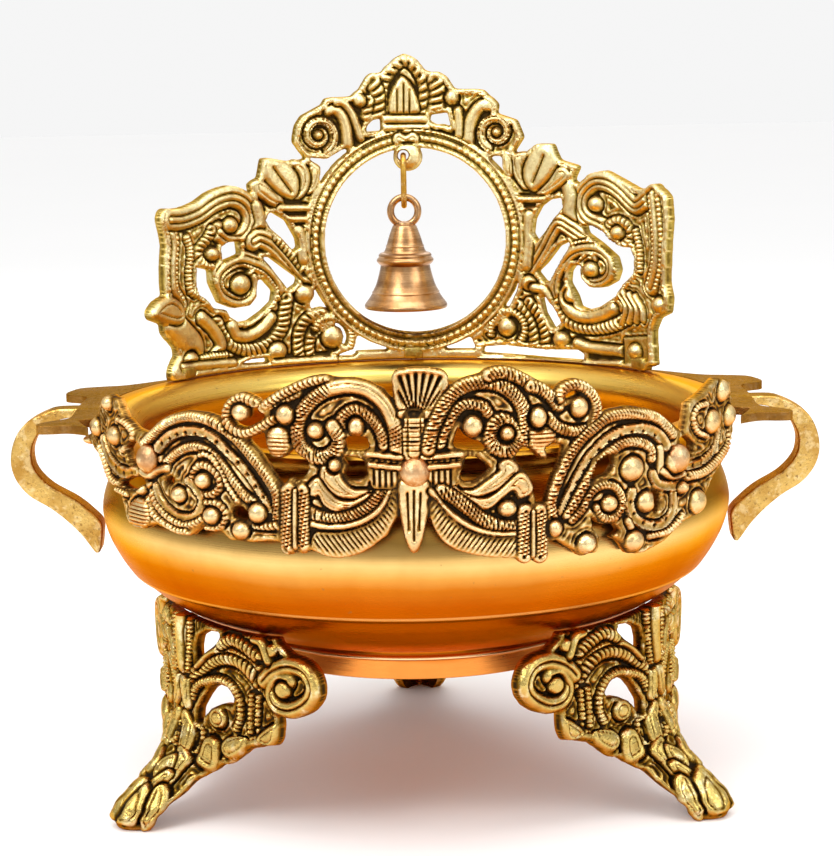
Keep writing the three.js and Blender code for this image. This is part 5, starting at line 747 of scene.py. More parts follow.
def lathe_data(P, segments, at=(0, 0, 0), axis=None, wobble=None):
    """solid of revolution of an open profile [r, z] that starts and ends on the axis, or of a closed one"""
    P = np.asarray(P, float)
    m = len(P)
    th = np.arange(segments) * 2 * math.pi / segments
    r, z = P[:, 0][:, None], P[:, 1][:, None]
    co = np.stack([r * np.sin(th), -r * np.cos(th), z + 0 * th], -1).reshape(-1, 3)
    if wobble is not None:
        co = wobble(co)
    arc = np.concatenate([[0], np.cumsum(np.hypot(*np.diff(P, axis=0).T))])
    arcs = np.repeat(arc, segments)
    i, j = np.meshgrid(np.arange(m - 1), np.arange(segments), indexing="ij")
    j2 = (j + 1) % segments
    f = np.stack([i * segments + j, i * segments + j2, (i + 1) * segments + j2, (i + 1) * segments + j], -1).reshape(-1, 4)
    if axis is not None:
        q = Vector((0, 0, 1)).rotation_difference(Vector(axis).normalized()).to_matrix()
        co = co @ np.array(q).T
    return co + np.array(at, float), f, arcs


def lathe(name, P, segments, at=(0, 0, 0), axis=None, angle=40, body="stand", wobble=None):
    co, f, arcs = lathe_data(P, segments, at, axis, wobble)
    return new_object(name, co * MM, f, {"arc": arcs}, angle=angle, body=body)


def tube_data(L, r, sides=16, closed=False, flat=None):
    """round wire along a line (mm)"""
    L = np.asarray(L, float)
    n = len(L)
    T = np.roll(L, -1, 0) - np.roll(L, 1, 0) if closed else np.gradient(L, axis=0)
    T /= np.linalg.norm(T, axis=1)[:, None]
    ref = np.array([0, 0, 1.0]) if abs(T[:, 2]).max() < 0.9 else np.array([1.0, 0, 0]) if abs(T[:, 0]).max() < 0.9 else np.array([0, 1.0, 0])
    A = np.cross(T, ref)
    A /= np.linalg.norm(A, axis=1)[:, None]
    B = np.cross(T, A)
    a = np.arange(sides) * 2 * math.pi / sides
    co = (L[:, None] + r * (np.cos(a)[None, :, None] * A[:, None] + np.sin(a)[None, :, None] * B[:, None])).reshape(-1, 3)
    m = n if closed else n - 1
    i, j = np.meshgrid(np.arange(m), np.arange(sides), indexing="ij")
    i2, j2 = (i + 1) % n, (j + 1) % sides
    f = np.stack([i * sides + j, i2 * sides + j, i2 * sides + j2, i * sides + j2], -1).reshape(-1, 4)
    return co, f


def rounded_box(half, r, at, turn):
    """block with rounded edges; turn is the angle about Z in radians"""
    half = np.asarray(half, float)
    keys, quads = {}, []
    def vid(p):
        k = tuple(np.round(p, 5))
        return keys.setdefault(k, len(keys))
    for ax in range(3):
        b, c = (ax + 1) % 3, (ax + 2) % 3
        tb = np.array([-1, -1 + 0.5 * r / half[b], -1 + r / half[b], 1 - r / half[b], 1 - 0.5 * r / half[b], 1])
        tc = np.array([-1, -1 + 0.5 * r / half[c], -1 + r / half[c], 1 - r / half[c], 1 - 0.5 * r / half[c], 1])
        for sg in (-1, 1):
            def pt(i, j):
                p = np.zeros(3)
                p[ax], p[b], p[c] = sg * half[ax], tb[i] * half[b], tc[j] * half[c]
                inner = np.clip(p, -(half - r), half - r)
                d = p - inner
                return inner + r * d / np.linalg.norm(d)
            for i in range(5):
                for j in range(5):
                    f = [vid(pt(i, j)), vid(pt(i + 1, j)), vid(pt(i + 1, j + 1)), vid(pt(i, j + 1))]
                    quads.append(f if sg > 0 else f[::-1])
    P = np.array(list(keys))
    ca, sa = math.cos(turn), math.sin(turn)
    P = P @ np.array([[ca, -sa, 0], [sa, ca, 0], [0, 0, 1]]).T + np.array(at, float)
    return P, np.array(quads)


def merge(*parts):
    co, fs, k = [], [], 0
    for c, f in parts:
        co.append(c)
        fs.append(f + k)
        k += len(c)
    return np.vstack(co), np.vstack(fs)


def extruded(name, outline, depth, bevel, place, body="stand", segments=3, angle=35, tag=None):
    """outline [a, b] in mm, extruded and its edges rounded; place maps (a, b, c) arrays to xyz mm"""
    bm = bmesh.new()
    n = len(outline)
    lo = [bm.verts.new((p[0], p[1], 0)) for p in outline]
    f = bm.faces.new(lo)
    r = bmesh.ops.extrude_face_region(bm, geom=[f])
    for v in r["geom"]:
        if isinstance(v, bmesh.types.BMVert):
            v.co.z += depth
    bmesh.ops.recalc_face_normals(bm, faces=bm.faces)
    es = [e for e in bm.edges if abs(e.verts[0].co.z - e.verts[1].co.z) < 1e-6]
    bmesh.ops.bevel(bm, geom=es, offset=bevel, offset_type="OFFSET", segments=segments, profile=0.6, affect="EDGES", clamp_overlap=True)
    bmesh.ops.triangulate(bm, faces=[x for x in bm.faces if len(x.verts) > 4])
    co = np.array([v.co for v in bm.verts], float)
    out = place(co[:, 0], co[:, 1], co[:, 2])
    for v, c in zip(bm.verts, out * MM):
        v.co = c
    bmesh.ops.recalc_face_normals(bm, faces=bm.faces)
    me = bpy.data.meshes.new(name)
    bm.to_mesh(me)
    bm.free()
    me.shade_smooth()
    me.set_sharp_from_angle(angle=math.radians(angle))
    o = bpy.data.objects.new(name, me)
    bpy.context.scene.collection.objects.link(o)
    return o


def joined(name, objs, body="stand"):
    """one object from several meshes that already sit in the row frame"""
    bm = bmesh.new()
    for o in objs:
        bm.from_mesh(o.data)
    me = bpy.data.meshes.new(name)
    bm.to_mesh(me)
    bm.free()
    me.shade_smooth()
    me.set_sharp_from_angle(angle=math.radians(38))
    for o in objs:
        bpy.data.objects.remove(o)
    o = bpy.data.objects.new(name, me)
    bpy.context.scene.collection.objects.link(o)
    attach(o, body)
    return o


# ------------------------------------------------------------------ materials
class Nodes:
    def __init__(s, name):
        s.mat = bpy.data.materials.new(name)
        s.mat.use_nodes = True
        s.t = s.mat.node_tree
        s.bsdf = s.t.nodes["Principled BSDF"]
        s.coord = s.t.nodes.new("ShaderNodeTexCoord").outputs["Object"]

    def put(s, sock, v):
        if isinstance(v, bpy.types.NodeSocket):
            s.t.links.new(v, sock)
        elif v is not None:
            sock.default_value = v

    def math(s, op, a, b=None, c=None, clamp=False):
        n = s.t.nodes.new("ShaderNodeMath")
        n.operation, n.use_clamp = op, clamp
        for i, v in enumerate((a, b, c)):
            s.put(n.inputs[i], v)
        return n.outputs[0]

    def range(s, v, a, b, c=0.0, d=1.0):
        n = s.t.nodes.new("ShaderNodeMapRange")
        n.interpolation_type = "SMOOTHSTEP"
        for i, x in enumerate((v, a, b, c, d)):
            s.put(n.inputs[i], x)
        return n.outputs[0]

    def noise(s, scale, detail=3.0, rough=0.55, vec=None, dim="3D", w=None, stretch=None):
        n = s.t.nodes.new("ShaderNodeTexNoise")
        n.noise_dimensions = dim
        n.inputs["Scale"].default_value = scale
        n.inputs["Detail"].default_value = detail
        n.inputs["Roughness"].default_value = rough
        if dim == "1D":
            s.put(n.inputs["W"], w)
        else:
            v = vec or s.coord
            if stretch:
                m = s.t.nodes.new("ShaderNodeMapping")
                m.inputs["Scale"].default_value = stretch
                s.t.links.new(v, m.inputs["Vector"])
                v = m.outputs[0]
            s.t.links.new(v, n.inputs["Vector"])
        return n.outputs["Fac"]

    def voronoi(s, scale, feature="F1"):
        n = s.t.nodes.new("ShaderNodeTexVoronoi")
        n.feature = feature
        n.inputs["Scale"].default_value = scale
        s.t.links.new(s.coord, n.inputs["Vector"])
        return n.outputs["Distance"]

    def ramp(s, v, stops, ease="LINEAR"):
        n = s.t.nodes.new("ShaderNodeValToRGB")
        cr = n.color_ramp
        cr.interpolation = ease
        while len(cr.elements) < len(stops):
            cr.elements.new(0.5)
        for e, (p, c) in zip(cr.elements, stops):
            e.position = p
            e.color = (*c, 1) if len(c) == 3 else c
        s.put(n.inputs[0], v)
        return n.outputs[0]

    def mix(s, f, a, b, blend="MIX"):
        n = s.t.nodes.new("ShaderNodeMix")
        n.data_type, n.blend_type = "RGBA", blend
        s.put(n.inputs[0], f)
        for i, v in ((6, a), (7, b)):
            s.put(n.inputs[i], (*v, 1) if isinstance(v, tuple) and len(v) == 3 else v)
        return n.outputs[2]

    def attribute(s, name):
        n = s.t.nodes.new("ShaderNodeAttribute")
        n.attribute_name = name
        return n.outputs["Fac"]

    def xyz(s, v):
        n = s.t.nodes.new("ShaderNodeSeparateXYZ")
        s.t.links.new(v, n.inputs[0])
        return n.outputs

    def normal_z(s):
        n = s.t.nodes.new("ShaderNodeNewGeometry")
        return s.xyz(n.outputs["Normal"])[2]

    def bump(s, h, strength, distance):
        n = s.t.nodes.new("ShaderNodeBump")
        n.inputs["Strength"].default_value = strength
        n.inputs["Distance"].default_value = distance
        s.t.links.new(h, n.inputs["Height"])
        prev = s.bsdf.inputs["Normal"].links
        if prev:
            s.t.links.new(prev[0].from_socket, n.inputs["Normal"])
        s.t.links.new(n.outputs[0], s.bsdf.inputs["Normal"])

    def set(s, **kw):
        names = {"color": "Base Color", "metal": "Metallic", "rough": "Roughness", "aniso": "Anisotropic", "coat": "Coat Weight", "coat_rough": "Coat Roughness", "coat_tint": "Coat Tint", "edge": "Specular Tint"}
        for k, v in kw.items():
            s.put(s.bsdf.inputs[names[k]], (*v, 1) if isinstance(v, tuple) and len(v) == 3 else v)


def cast_brass(name, dark, low, mid, hi, painted_under_reflection, rough=(0.62, 0.3), back=(0.42, 0.19, 0.03), metal_low=0.55):
    """antiqued casting: black wax in the recesses, rubbed brass on the high parts, and a painted orange reflection of
    the bowl on the raised faces that look down
    """
    n = Nodes(name)
    pat = n.attribute("pat")
    grain = n.noise(260, 4, 0.6)
    spots = n.noise(900, 2, 0.5)
    p = n.math("ADD", pat, n.math("MULTIPLY", n.math("SUBTRACT", grain, 0.5), 0.42))
    p = n.math("ADD", p, n.math("MULTIPLY", n.math("SUBTRACT", spots, 0.5), 0.18), clamp=True)
    col = n.ramp(p, [(0.0, dark), (0.2, dark), (0.4, low), (0.62, mid), (0.9, hi)])
    # painted reflection: raised faces that look down take the orange of the bowl beneath them
    nz = n.normal_z()
    down = n.range(nz, 0.15, -0.75, 0.0, 1.0)
    lit = n.range(p, 0.3, 0.6)
    col = n.mix(n.math("MULTIPLY", n.math("MULTIPLY", down, lit), 0.75), col, painted_under_reflection)
    rear = n.mix(n.range(p, 0.25, 0.62), n.mix(1.0, back, (0.28, 0.22, 0.18), "MULTIPLY"), back)
    rear = n.mix(n.range(p, 0.62, 0.85), rear, n.mix(0.55, back, hi))
    col = n.mix(n.math("MULTIPLY", n.range(n.attribute("side"), 0.25, 0.8), 0.9), col, rear)
    blot = n.noise(38, 3, 0.5)
    col = n.mix(n.range(blot, 0.35, 0.7, 0.0, 0.45), col, n.mix(1.0, col, (0.78, 0.58, 0.42), "MULTIPLY"))
    fleck = n.noise(150, 4, 0.65)
    col = n.mix(n.math("MULTIPLY", n.range(fleck, 0.52, 0.68), n.range(p, 0.5, 0.8, 0.0, 0.55)), col, (0.92, 0.83, 0.50))
    col = n.mix(n.range(fleck, 0.50, 0.32, 0.0, 0.50), col, n.mix(1.0, col, (0.55, 0.44, 0.36), "MULTIPLY"))
    n.set(color=col, metal=n.range(p, 0.12, 0.5, metal_low, 1.0))
    r = n.math("ADD", n.range(p, 0.2, 0.8, rough[0], rough[1]), n.math("MULTIPLY", n.math("SUBTRACT", spots, 0.5), 0.16))
    n.set(rough=r, edge=(1.0, 0.62, 0.30))
    n.bump(n.noise(1500, 3, 0.6), 0.5, 0.00014)
    n.bump(n.noise(520, 4, 0.6), 0.7, 0.0005)
    n.bump(n.noise(190, 3, 0.55), 0.45, 0.0010)
    return n.mat


def tangent(n):
    t = n.t.nodes.new("ShaderNodeTangent")
    t.direction_type, t.axis = "RADIAL", "Z"
    n.t.links.new(t.outputs[0], n.bsdf.inputs["Tangent"])


def spun_brass():
    """turned and brushed bowl: rings round the axis; its colour by height has painted light in it, a painted highlight
    band at the shoulder, painted shade under the front panel and a painted warm reflection towards the foot
    """
    n = Nodes("spun_brass_rings")
    x, y, z = n.xyz(n.coord)
    arc = n.attribute("arc")
    inner = n.attribute("inner")
    zz = n.math("ADD", z, n.math("MULTIPLY", n.math("SUBTRACT", n.noise(22, 3, 0.55), 0.5), 0.006))
    h = n.range(zz, 0.055, 0.160)
    h = n.math("DIVIDE", n.math("SUBTRACT", zz, 0.055), 0.105, clamp=True)
    col = n.ramp(h, BOWL_RAMP_PAINTED_LIGHT)
    inn = n.ramp(h, [(0.0, (0.62, 0.27, 0.012)), (0.4, (0.70, 0.36, 0.018)), (0.75, (0.76, 0.47, 0.05)), (0.92, (0.80, 0.60, 0.16)), (1.0, (0.84, 0.62, 0.20))])
    col = n.mix(inner, col, inn)
    rings = n.noise(1.0, 3, 0.75, dim="1D", w=n.math("MULTIPLY", arc, 2200.0))
    wide = n.noise(1.0, 2, 0.5, dim="1D", w=n.math("MULTIPLY", arc, 260.0))
    tone = n.math("ADD", n.math("MULTIPLY", n.math("SUBTRACT", rings, 0.5), 0.30), n.math("MULTIPLY", n.math("SUBTRACT", wide, 0.5), 0.35))
    col = n.mix(n.math("ADD", 0.5, tone, clamp=True), n.mix(1.0, col, (0.80, 0.72, 0.58), "MULTIPLY"), n.mix(1.0, col, (1.0, 0.98, 0.96), "MULTIPLY"))
    cloud = n.noise(30, 4, 0.6)
    col = n.mix(n.range(cloud, 0.42, 0.75, 0.0, 0.28), col, n.mix(1.0, col, (0.72, 0.58, 0.42), "MULTIPLY"))
    # painted highlight lines along the top of the foot ring ledge and the edge of the groove
    for at, tint in ((0.0672, (1.0, 0.70, 0.36)), (0.0940, (0.82, 0.37, 0.10))):
        painted_highlight_line = n.range(n.math("ABSOLUTE", n.math("SUBTRACT", z, at)), 0.00085, 0.0003)
        col = n.mix(n.math("MULTIPLY", n.math("MULTIPLY", painted_highlight_line, n.math("SUBTRACT", 1.0, inner)), 0.85), col, tint)
    # painted shade in the crease of the groove step
    painted_groove_shade = n.range(n.math("ABSOLUTE", n.math("SUBTRACT", z, 0.0925)), 0.0007, 0.0002)
    col = n.mix(n.math("MULTIPLY", n.math("MULTIPLY", painted_groove_shade, n.math("SUBTRACT", 1.0, inner)), 0.7), col, (0.16, 0.05, 0.01))
    specks = n.range(n.noise(420, 2, 0.5), 0.70, 0.78)
    col = n.mix(n.math("MULTIPLY", specks, 0.5), col, (0.25, 0.13, 0.04))
    n.set(color=col, metal=1.0, aniso=0.55)
    r = n.math("ADD", 0.27, n.math("MULTIPLY", n.math("SUBTRACT", rings, 0.5), 0.22))
    r = n.math("ADD", r, n.range(cloud, 0.3, 0.8, 0.0, 0.10))
    n.set(rough=r, edge=(1.0, 0.62, 0.25))
    tangent(n)
    n.bump(rings, 0.35, 0.00006)
    n.bump(wide, 0.30, 0.00025)
    n.bump(n.noise(90, 2, 0.5), 0.12, 0.0009)
    return n.mat


# outside colour by height, brass tone with painted light: a pale painted highlight band around 0.58, painted shade from
# the front panel around 0.66, a dark orange painted reflection of the shaded floor and legs below the groove, a bright
# foot ring, and painted light on the shaded neck behind the panel
BOWL_RAMP_PAINTED_LIGHT = [(0.0, (0.92, 0.36, 0.08)), (0.10, (0.88, 0.33, 0.07)), (0.13, (0.60, 0.15, 0.006)), (0.34, (0.56, 0.12, 0.003)), (0.42, (0.53, 0.11, 0.003)), (0.49, (0.62, 0.19, 0.012)), (0.535, (0.77, 0.38, 0.08)), (0.58, (0.84, 0.58, 0.22)), (0.62, (0.62, 0.40, 0.13)), (0.66, (0.36, 0.22, 0.055)), (0.74, (0.56, 0.30, 0.052)), (0.80, (0.80, 0.32, 0.03)), (1.0, (0.80, 0.46, 0.06))]


def satin_brass(name="satin_brass_pitted", base=(0.66, 0.42, 0.12), dark=(0.22, 0.11, 0.03), painted_warm_shade=(0.42, 0.15, 0.012), ear=None):
    """hammered and filed brass: pale and pitted on the cut sides, painted warm shade on the faces turned towards the
    bowl and downwards, dull on the flat top
    """
    n = Nodes(name)
    pit = n.range(n.voronoi(620), 0.05, 0.28)
    fine = n.noise(700, 4, 0.65)
    cloud = n.noise(70, 4, 0.6)
    streak = n.noise(260, 3, 0.6)
    col = n.mix(n.range(cloud, 0.35, 0.65), base, n.mix(1.0, base, (0.72, 0.60, 0.42), "MULTIPLY"))
    col = n.mix(n.math("MULTIPLY", n.range(streak, 0.50, 0.66), 0.5), col, (0.88, 0.68, 0.34))
    col = n.mix(n.math("MULTIPLY", n.range(fine, 0.56, 0.68), 0.7), col, dark)
    g = n.t.nodes.new("ShaderNodeNewGeometry")
    nx, ny, nz = n.xyz(g.outputs["Normal"])
    px, py, pz = n.xyz(n.coord)
    if ear:
        # faces turned towards the bowl, and faces that look down, get painted warm shade in dark orange
        out = n.math("ADD", n.math("MULTIPLY", nx, n.math("MULTIPLY", px, 7.0)), n.math("MULTIPLY", ny, n.math("MULTIPLY", py, 7.0)))
        inn = n.math("MAXIMUM", n.range(out, -0.15, -0.6), n.math("MULTIPLY", n.range(nz, -0.45, -0.85), n.range(n.math("ABSOLUTE", ny), 0.5, 0.3)))
        col = n.mix(n.math("MULTIPLY", inn, 0.92), col, n.mix(n.range(fine, 0.4, 0.7), painted_warm_shade, n.mix(1.0, painted_warm_shade, (0.6, 0.55, 0.5), "MULTIPLY")))
        zone = n.math("MULTIPLY", n.range(n.math("ABSOLUTE", py), 0.0056, 0.0068), n.range(pz, 0.1528, 0.1534))
        side = n.mix(n.range(cloud, 0.3, 0.7), ear[1], n.mix(1.0, ear[1], (0.55, 0.50, 0.45), "MULTIPLY"))
        col = n.mix(n.math("MULTIPLY", zone, 0.85), col, side)
        top = n.math("MULTIPLY", n.range(nz, 0.80, 0.97), n.range(pz, 0.1558, 0.1566))
        col = n.mix(n.math("MULTIPLY", top, 0.9), col, n.mix(n.range(streak, 0.35, 0.65), ear[0], n.mix(1.0, ear[0], (1.7, 1.6, 1.4), "MULTIPLY")))
    else:
        # faces that look down get painted warm shade
        col = n.mix(n.math("MULTIPLY", n.range(nz, 0.1, -0.8), 0.75), col, painted_warm_shade)
    n.set(color=col, metal=1.0, edge=(1.0, 0.62, 0.28))
    n.set(rough=n.math("ADD", n.range(fine, 0.3, 0.75, 0.26, 0.48), n.range(cloud, 0.3, 0.8, -0.03, 0.06)))
    n.bump(pit, 0.25, 0.0004)
    n.bump(fine, 0.8, 0.00045)
    n.bump(n.noise(190, 3, 0.55), 0.40, 0.0008)
    return n.mat


def bell_bronze(name="bell_bronze_turned", base=(0.40, 0.20, 0.075), pale=(0.62, 0.38, 0.19), dark=(0.22, 0.11, 0.05)):
    n = Nodes(name)
    arc = n.attribute("arc")
    rings = n.noise(1.0, 3, 0.7, dim="1D", w=n.math("MULTIPLY", arc, 3000.0))
    cloud = n.noise(120, 4, 0.6)
    col = n.mix(n.range(cloud, 0.3, 0.7), base, pale)
    col = n.mix(n.range(rings, 0.55, 0.8, 0.0, 0.22), col, dark)
    bands = n.noise(1.0, 2, 0.5, dim="1D", w=n.math("MULTIPLY", arc, 250.0))
    col = n.mix(n.range(bands, 0.42, 0.66, 0.0, 0.45), col, n.mix(1.0, col, (0.42, 0.36, 0.30), "MULTIPLY"))
    # painted warm shade on the faces that look down
    col = n.mix(n.math("MULTIPLY", n.range(n.normal_z(), 0.0, -0.8), 0.6), col, (0.45, 0.20, 0.07))
    n.set(color=col, metal=1.0)
    n.set(rough=n.math("ADD", 0.30, n.math("MULTIPLY", n.math("SUBTRACT", rings, 0.5), 0.25)))
    n.bump(rings, 0.4, 0.00006)
    n.bump(n.noise(800, 3, 0.6), 0.25, 0.00012)
    return n.mat


def dull_brass(name="screw_brass_dull"):
    n = Nodes(name)
    f = n.noise(500, 4, 0.6)
    n.set(color=n.mix(n.range(f, 0.3, 0.7), (0.50, 0.34, 0.13), (0.28, 0.17, 0.06)), metal=1.0, rough=n.range(f, 0.3, 0.7, 0.35, 0.55))
    n.bump(f, 0.3, 0.0001)
    return n.mat


# the fifth colour of each casting is its painted orange reflection on the faces that look down
M_FRONT = cast_brass("antique_front", (0.010, 0.006, 0.003), (0.14, 0.065, 0.014), (0.42, 0.25, 0.058), (0.78, 0.60, 0.30), (0.70, 0.24, 0.025), back=(0.60, 0.27, 0.04))
M_ARCH = cast_brass("antique_arch", (0.040, 0.024, 0.004), (0.24, 0.165, 0.028), (0.52, 0.40, 0.095), (0.88, 0.76, 0.40), (0.50, 0.32, 0.05), rough=(0.58, 0.34), back=(0.46, 0.31, 0.06))
M_LEG = cast_brass("antique_leg", (0.007, 0.004, 0.001), (0.075, 0.036, 0.003), (0.20, 0.105, 0.010), (0.58, 0.43, 0.13), (0.58, 0.19, 0.013), rough=(0.52, 0.24), back=(0.50, 0.18, 0.015))
M_BOWL = spun_brass()
M_HANDLE = satin_brass(ear=((0.105, 0.062, 0.009), (0.27, 0.11, 0.018)))
# the third colour of the link is its painted warm shade on the faces that look down
M_LINK = satin_brass("link_brass_drawn", (0.72, 0.46, 0.09), (0.30, 0.16, 0.05), (0.50, 0.24, 0.04))
M_BELL = bell_bronze()
M_SCREW = dull_brass()


def wear(o, mat, slot, *nodes):
    o.data.materials.clear()
    o.data.materials.append(mat)
    if nodes:
        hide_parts(*nodes)
    return o


# ------------------------------------------------------------------ bowl
BOWL_RUNS = [
    [[0, 66], [66, 66]], [[66, 66], [66.6, 58.6]], [[66.6, 58.6], [70.7, 58.6]], [[70.7, 58.6], [71.4, 66.3]], [[71.4, 66.3], [72.3, 66.7], [72.3, 67.6], [71.5, 68.1]], [[71.5, 68.1], [71.2, 69.7]],
    [[71.2, 69.7], [78, 71.4], [85, 73.5], [98, 79.5], [108, 86], [114.6, 91.6]], [[114.6, 91.6], [115.6, 92.5]], [[115.6, 92.5], [117.2, 93.2]],
    [[117.2, 93.2], [118.4, 94.6], [122, 100], [125.8, 107.5], [128, 115.5], [127.7, 122], [125, 130], [120.5, 137], [115.6, 142.6], [114, 147], [115.4, 151.2], [119, 154.5]],
    [[119, 154.5], [120.2, 155]], [[120.2, 155], [127, 155]], [[127, 155], [127, 157]], [[127, 157], [119.8, 157]],
    [[119.8, 157], [115.6, 155.4], [112, 151.5], [111.2, 147], [112.9, 141.4], [118.3, 135.4], [122.8, 128.6], [125.5, 118.6], [123.2, 108.4], [117, 98.4], [106.2, 88.8], [84, 76.3], [70, 71.6]], [[70, 71.6], [54, 69.5]], [[54, 69.5], [0, 69.5]],
]
P = soften(profile(BOWL_RUNS, 1.1), 0.45)
co, f, arcs = lathe_data(P, 288)
inner = np.repeat((np.arange(len(P)) > int(np.argmax((P[:, 0] < 119.9) & (P[:, 1] > 156.9)))).astype(float), 288)
bowl = new_object("bowl_spun", co * MM, f, {"arc": arcs * MM, "inner": inner}, angle=34)
wear(bowl, M_BOWL, "spun_brass", "bowl")

# ------------------------------------------------------------------ front panel
R = relief(FRONT, 2.0, 6.0, 0.5, lip=0.20)
place_front = lambda u, v, h: np.stack([(129.9 + h) * np.sin(u / 133.0), -(129.9 + h) * np.cos(u / 133.0), v], -1)
wear(relief_object("front_fretwork", R, place_front), M_FRONT, "antique_brass", "front_panel")

# ------------------------------------------------------------------ arch
R = relief(ARCH, 2.0, 6.0, 0.5, v0=156.9)
R.c = np.minimum(R.c, R.Y - 157.3)
place_arch = lambda u, v, h: np.stack([(126.5 - h) * np.sin(u / 121.5), (126.5 - h) * np.cos(u / 121.5), v], -1)


def place_arch_turned(u, v, h):
    return place_arch(-u, v, h)


R2 = R
for name in ("c", "h", "X"):
    setattr(R2, name, getattr(R2, name)[:, ::-1])
R2.X = -R2.X
feet = []
for deg in (-54, 0, 54):
    a = math.radians(deg)
    feet.append((*rounded_box((4.6, 2.7, 2.95), 1.6, (123.6 * math.sin(a), 123.6 * math.cos(a), 160.3), -a), 0.62))
wear(relief_object("arch_fretwork", R2, place_arch_turned, extra=feet, lift=0.17), M_ARCH, "antique_brass", "arch_panel")

# ------------------------------------------------------------------ legs
LEG_FLARE = np.array([[0, 31], [5, 33], [9, 30], [14, 22], [20, 14], [28, 6], [38, 1.2], [60, 0], [200, 0]], float)


def leg_surface(s, z):
    """back face of a leg that stands towards -Y; the fold at s = 0 is rounded"""
    fl = np.interp(z, LEG_FLARE[:, 0], LEG_FLARE[:, 1])
    t = np.clip((z - 5) / 31, 0, 1)
    w = np.radians(30 + 41.5 * t * t * (3 - 2 * t))
    e = 5.0
    a = np.sqrt(s * s + e * e) - e * 0.55
    k = np.abs(s) / np.sqrt(s * s + e * e)
    x = np.sign(s) * np.abs(s) * np.sin(w)
    y = -(104 + fl) + a * np.cos(w)
    return np.stack([x, y, z], -1)


def leg_place(s, z, h):
    d = 0.6
    zz = np.maximum(z, 0)
    ps, pz = leg_surface(s + d, zz) - leg_surface(s - d, zz), leg_surface(s, zz + d) - leg_surface(s, zz - d)
    n = np.cross(ps, pz)
    n /= np.linalg.norm(n, axis=1)[:, None]
    n[:, 2] *= np.clip((zz - 3) / 12, 0, 1)
    p = leg_surface(s, zz) + n * h[:, None]
    r = np.hypot(p[:, 0], p[:, 1])
    k = np.minimum(1, 139.4 / np.maximum(r, 1))
    p[:, :2] *= k[:, None]
    p[:, 2] = np.maximum(p[:, 2], 0)
    return p


def under_bowl(r):
    return np.interp(r, [71.2, 85, 98, 108, 114.6, 117.7, 122], [69.7, 73.5, 79.5, 86, 91.6, 93.6, 100])


R = relief(LEG, 2.4, 7.0, 0.5, v0=-0.5, lip=0.28)
S = leg_surface(R.X.ravel(), R.Y.ravel())
lim = (under_bowl(np.hypot(S[:, 0], S[:, 1])) - 0.5).reshape(R.X.shape) - R.Y
R.c = np.minimum(np.minimum(R.c, lim), R.Y + 0.01)
R.h = np.minimum(R.h, 6.4)
legs = {}
for name, deg in (("left", -60), ("right", 60), ("rear", 180)):
    a = math.radians(deg)
    T = np.array([[math.cos(a), -math.sin(a), 0], [math.sin(a), math.cos(a), 0], [0, 0, 1]])
    wear(relief_object("leg_cast_" + name, R, lambda u, v, h: leg_place(u, v, h) @ T.T, hmin=0.0), M_LEG, "antique_brass", "leg_" + name)

# ------------------------------------------------------------------ handles
STRAP_OUT = [[127.9, 157], [140, 157.1], [146.5, 156.9], [150.4, 155.8], [156, 153.2], [160.6, 149.8], [163.8, 145], [165.6, 139.2], [165.7, 133], [163.4, 126.8], [158.4, 121], [150.4, 116], [144, 110.8], [138, 104.6], [133.4, 98.2], [132.2, 96.8]]
STRAP_IN = [[131, 96.9], [130.1, 98.4], [129.3, 104], [129.4, 109.4], [133.4, 114], [139.6, 119.2], [149.6, 125.2], [155.4, 131.4], [157, 137], [156.4, 142], [153.4, 147.4], [147.6, 151.6], [140, 153.4], [127.9, 153.6]]
EAR = [[-22.4, 137.2], [-20, 140.4], [-18.6, 144], [-18.2, 150], [-17.4, 154.4], [-15.6, 154.2], [-14, 150.5], [-12, 142], [-10, 139.5], [-5, 138], [1, 138], [6, 138.4], [10, 139.5], [12, 142.5], [13.2, 150.6], [15, 153.2], [17.7, 153.7], [20.4, 152.8], [22.8, 145.9], [24.8, 139.5], [28, 135.2], [33, 131.5], [39, 128.3]]
ear_pts = np.array([[r * math.cos(math.radians(d)), r * math.sin(math.radians(d))] for d, r in EAR])
ear_out = spline(ear_pts, 1.2)
ear_in = np.array([[127.5 * math.cos(math.radians(d)), 127.5 * math.sin(math.radians(d))] for d in np.arange(38, -13.9, -1.0)] + [[137.3 * math.cos(math.radians(d)), 137.3 * math.sin(math.radians(d))] for d in (-13.9, -16, -18.5, -21)])
ear_outline = np.vstack([ear_out, ear_in])
strap_outline = np.vstack([spline(STRAP_OUT, 1.4), spline(STRAP_IN, 1.4)])
for side, name in ((-1, "left"), (1, "right")):
    def place_ear(a, b, c, k=side):
        q = 0.35 * np.sin(a * 0.9 + b * 0.35) * (c > 1.5)
        return np.stack([k * a, b, 153.6 + c * (1 + 0.0 * q)], -1)
    def place_strap(a, b, c, k=side):
        mid = np.clip((a - 131) / 26, 0, 1) * (b < 152)
        w = 1 + 0.04 * np.sin(b * 0.11) - 0.05 * mid
        a = a - 0.24 * np.clip((a - 150) / 15, 0, 1)
        return np.stack([k * a, (c - 5.5) * w, b], -1)
    ear = extruded("ear_tmp", ear_outline.tolist(), 3.4, 0.9, place_ear)
    strap = extruded("strap_tmp", strap_outline.tolist(), 11.0, 1.3, place_strap)
    h = joined("handle_forged_" + name, [ear, strap])
    wear(h, M_HANDLE, "satin_brass", "handle_" + name)

